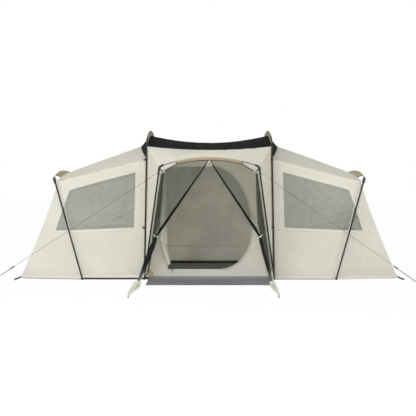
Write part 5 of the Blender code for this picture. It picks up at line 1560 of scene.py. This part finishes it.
for side, word in SIDES:
    tie = awning_point(side * TIE_X[side], slope(TIE_Z))
    fall = unit(TIP[side] - tie)
    u = np.linspace(-1, 1, 19)
    across = unit([-fall[1], fall[0], 0]) * math.copysign(SKIRT_WIDTH[side] * 0.32, -side * fall[1])
    first = TIP[side] + fall * 0.0006 + np.outer(u, across)
    t = np.linspace(0.02, 1, 70)[:, None]
    middle = lerp((TIP[side] + fall * 0.060)[:2], SKIRT_END[side], t)
    width = SKIRT_WIDTH[side] * (0.50 + 0.50 * np.sin(math.pi * np.minimum(1, 0.28 + t * 0.9)))
    lift = 0.040 * np.clip(1 - t / 0.35, 0, 1) ** 2
    z = 0.0032 + lift * (1 + 0.25 * u) + 0.004 * (1 - u * u) * np.sin(math.pi * t)
    flutter = np.abs(relief(t * 1.1 - 0.55, u * 0.04, 70 + side, depth=0.005, folds=16,
                            size=(1.1, 0.1), length=0.12, width=0.07))
    z = z + flutter * (1 - u ** 6)
    rows = points_at(middle[:, :1] + u * side * width / 2, middle[:, 1:], z)
    bridge = lerp(first[None], rows[:1], np.linspace(0, 1, 8)[:-1, None, None])
    flap = shape(f"hem_flap_{word}", np.concatenate([bridge, rows]), outward=(0, 0, 1))
    panel(flap, f"skirt_{word}")
    s = slope(BAND_FOOT_Z)
    foot = awning_point(side * (awning_leg_x(s) - 0.016), s, 0.018)
    land = np.append(lerp(TIP[side][:2], SKIRT_END[side], 0.45), 0.014)
    line = bent(foot, lerp(foot, land, 0.5) - (0, 0, 0.030), land, np.linspace(0, 1, 60)[:, None])
    band = ribbon(f"hem_band_{word}", line, (side, -0.4, 0.8), BAND_WIDTH, 0.0012)
    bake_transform(band)
    dressed(thick(band, CLOTH), cream)
    peg, end = SKIRT_PEG[side], SKIRT_END[side]
    a = np.linspace(0, 2 * math.pi, 70, endpoint=False)
    aim = unit(peg - end)
    reach = np.linalg.norm(peg - end) / 2 + 0.010
    square = np.array((-aim[1], aim[0]))
    ring = lerp(end, peg, 0.5) + ellipse(a, reach * aim, LOOP_HALF_WIDTH * square)
    ring = points_at(*ring.T, LOOP_Z)
    loop = tube(f"peg_loop_{word}", np.concatenate([ring, ring[:1]]), LOOP_RADIUS, sides=10)
    dressed(loop, black_binding, body="tent")
    blunt = np.sqrt(np.clip(1.06 - np.linspace(0, 1, 30) ** 8, 0.1, 1))
    bent_wire(f"flap_peg_{word}", PEG_SHAPE, peg, PEG_RADIUS * blunt, socket_black)
    sheet_of(flap)

# The door panel. It is unzipped, rolled up to its hinge side and held by three toggled ties. Its
# lower end is slack and swings in over the sill.
ROLL_DOOR_RADIUS, DOOR_ROLL_FOOT_Z, SWING_FROM_Z = 0.030, 0.225, 0.600
PAST_HINGE, ROLL_LEAN, ROLL_SWING, WALL_GAP = 0.058, 0.030, 0.111, 0.0020
TOWARDS_HINGE = (-0.90, -0.44, 0)
t = np.linspace(0, 1, 110)
z = lerp(DOOR_TOP_Z - 0.020, DOOR_ROLL_FOOT_Z, t)
swing = np.clip((SWING_FROM_Z - z) / (SWING_FROM_Z - DOOR_ROLL_FOOT_Z), 0, 1)
lean = np.sin(math.pi / 2 * np.clip((1.620 - z) / 1.060, 0, 1))
radii = ROLL_DOOR_RADIUS * (0.80 + 0.40 * t)
roll_route = points_at(DOOR_LEFT_X - PAST_HINGE - ROLL_LEAN * lean + ROLL_SWING * swing ** 1.3,
                       -HALF_DEPTH - radii - WALL_GAP, z)
taper = 1 - 0.45 * np.clip((t - 0.90) / 0.10, 0, 1) ** 1.5 - 0.25 * np.clip(1 - t / 0.05, 0, 1)
door_roll = rolled("rolled_door", roll_route, radii * taper, 9, (0, 1, 0), 7, 0.030)
panel(door_roll, "door_roll", thickness=0.0006)
# A black strip runs down the roll's left, outer side, from near its head to just above the lowest tie.
edge = roll_route[4:76] + np.outer((radii + 0.0016)[4:76], TOWARDS_HINGE)
door_ties = [sewn("door_roll_dark_strip", edge, TOWARDS_HINGE, black_binding, slot="black_plastic")]
a = np.linspace(0, 2 * math.pi, 48)
for index, place in enumerate((18, 52, 84)):
    ring = roll_route[place] + points_at((radii[place] + 0.0026) * np.cos(a),
                                         (radii[place] + 0.0018) * np.sin(a), 0.004 * np.cos(a))
    band = sewn(f"door_tie_{index + 1}", ring, unit(ring - roll_route[place]), strap_cream,
                width=0.016, proud=0.0012)
    door_ties.append(thick(band, LIGHT_CLOTH))
    barrel(f"door_toggle_{index + 1}", roll_route[place] + (0.012, -radii[place] - 0.0095, 0),
           (1, 0, 0.3), 0.034, 0.0058, toggle_white)
sheet_of(door_roll)

# Clips, straps and tapes. Black moulded clips hold the walls to the centre legs, cream webbing ties
# the roof's outer corners to the wing sockets, and black webbing pegs the two front corners down.
CLIPS = (("low", 0.757, 0.0026), ("high", 1.740, 0.0046))
CLIP_WIDTH, BALL_RADIUS, BALL_LENGTH = 0.0065, 0.0140, 0.030
STRAP_FOOT, STRAP_HALF_WIDTH, STRAP_FLATNESS, HOOK_RADIUS = (2.810, -1.690), 0.0125, 0.24, 0.0032
HOOK_SHAPE = ((0, 0.004, 0.0045), (0, 0.0, 0.016), (0, -0.004, 0.026), (0, -0.014, 0.030),
              (0, -0.022, 0.024), (0, -0.022, 0.016))
webbing = stitched("black_webbing", (0.018, 0.018, 0.018), (0.050, 0.050, 0.048), seam=0.009,
                   inset=0.0026)
for side, word in SIDES:
    for face, end in FACES:
        for level, z, clearance in CLIPS:
            axis = np.array([side * float(bay_x(z)), face * -LEG_Y, z])
            a = np.radians(np.linspace(35, 325, 40) + 90 * face)
            grip = LEG_RADIUS + clearance
            ring = axis + points_at(grip * np.cos(a), grip * np.sin(a), 0)
            clip = tube(f"leg_clip_{level}_{end}_{word}", ring, CLIP_WIDTH, sides=14, flat=0.36)
            moulding(clip)
            tail = axis + points_at(-side * 0.004, face * np.linspace(-0.013, -0.0335, 12), 0)
            thick(sewn(f"clip_web_{level}_{end}_{word}", tail, (side, 0, 0), webbing, width=0.014,
                       proud=0.0012, slot="black_plastic"), CLOTH)
            barrel(f"clip_ball_{level}_{end}_{word}", axis + (face * (grip + 0.012), face * 0.002, 0),
                   (0, 0, 1), BALL_LENGTH, BALL_RADIUS, socket_black)
        socket_bend = wing_socket_route(side, face)[0][20]
        corner = np.array([side * (WING_TOP_X - 0.012), face * (HALF_DEPTH - 0.004), EAVE_OUT_Z + 0.006])
        t = np.linspace(0, 1, 24)[:, None]
        reach = bowed(corner, socket_bend - (0, 0, 0.004), t, (0, face * 0.010, 0.004))
        thick(sewn(f"corner_strap_{end}_{word}", reach, (0, face, 0.4), strap_cream, width=0.018,
                   proud=0.0012), CLOTH)
    y = np.linspace(-CENTRE_SLEEVE_Y, CENTRE_SLEEVE_Y, 120)
    line = points_at(side * (BAY_TOP_X - 0.005), y, hoop_cloth_z(y) + 0.012)
    sewn(f"peak_tape_{word}", line, (-side, 0, 0.2), cream_tape, width=0.016, slot="tan_cloth")
    corner = np.array([side * (HALF_LENGTH + 0.0063), -HALF_DEPTH + CORNER_SETBACK, 0.024])
    foot = np.array([side * STRAP_FOOT[0], STRAP_FOOT[1], 0.016])
    t = np.linspace(0, 1, 60)[:, None]
    line = bowed(corner, foot, t, (0, 0, -0.002))
    strap = tube(f"ground_strap_{word}", line, STRAP_HALF_WIDTH, sides=20, hint=(0, 0, 1),
                 flat=STRAP_FLATNESS)
    dressed(strap, webbing, body="tent", node=f"corner_peg_{word}")
    bent_wire(f"corner_hook_{word}", HOOK_SHAPE, foot, HOOK_RADIUS, plated)

# The zip's slider, the runners and the pegs of the guy lines stay as solids. The slider and the
# runners are moulded black nylon, and the pegs are plated steel wire.
for name, material in (("door_zip_slider", socket_black), ("guy_adjuster_left", socket_black),
                       ("guy_adjuster_right", socket_black), ("guy_peg_left", plated),
                       ("guy_peg_right", plated)):
    kept = bpy.data.objects[name]
    kept.data.materials.clear()
    kept.data.materials.append(material)
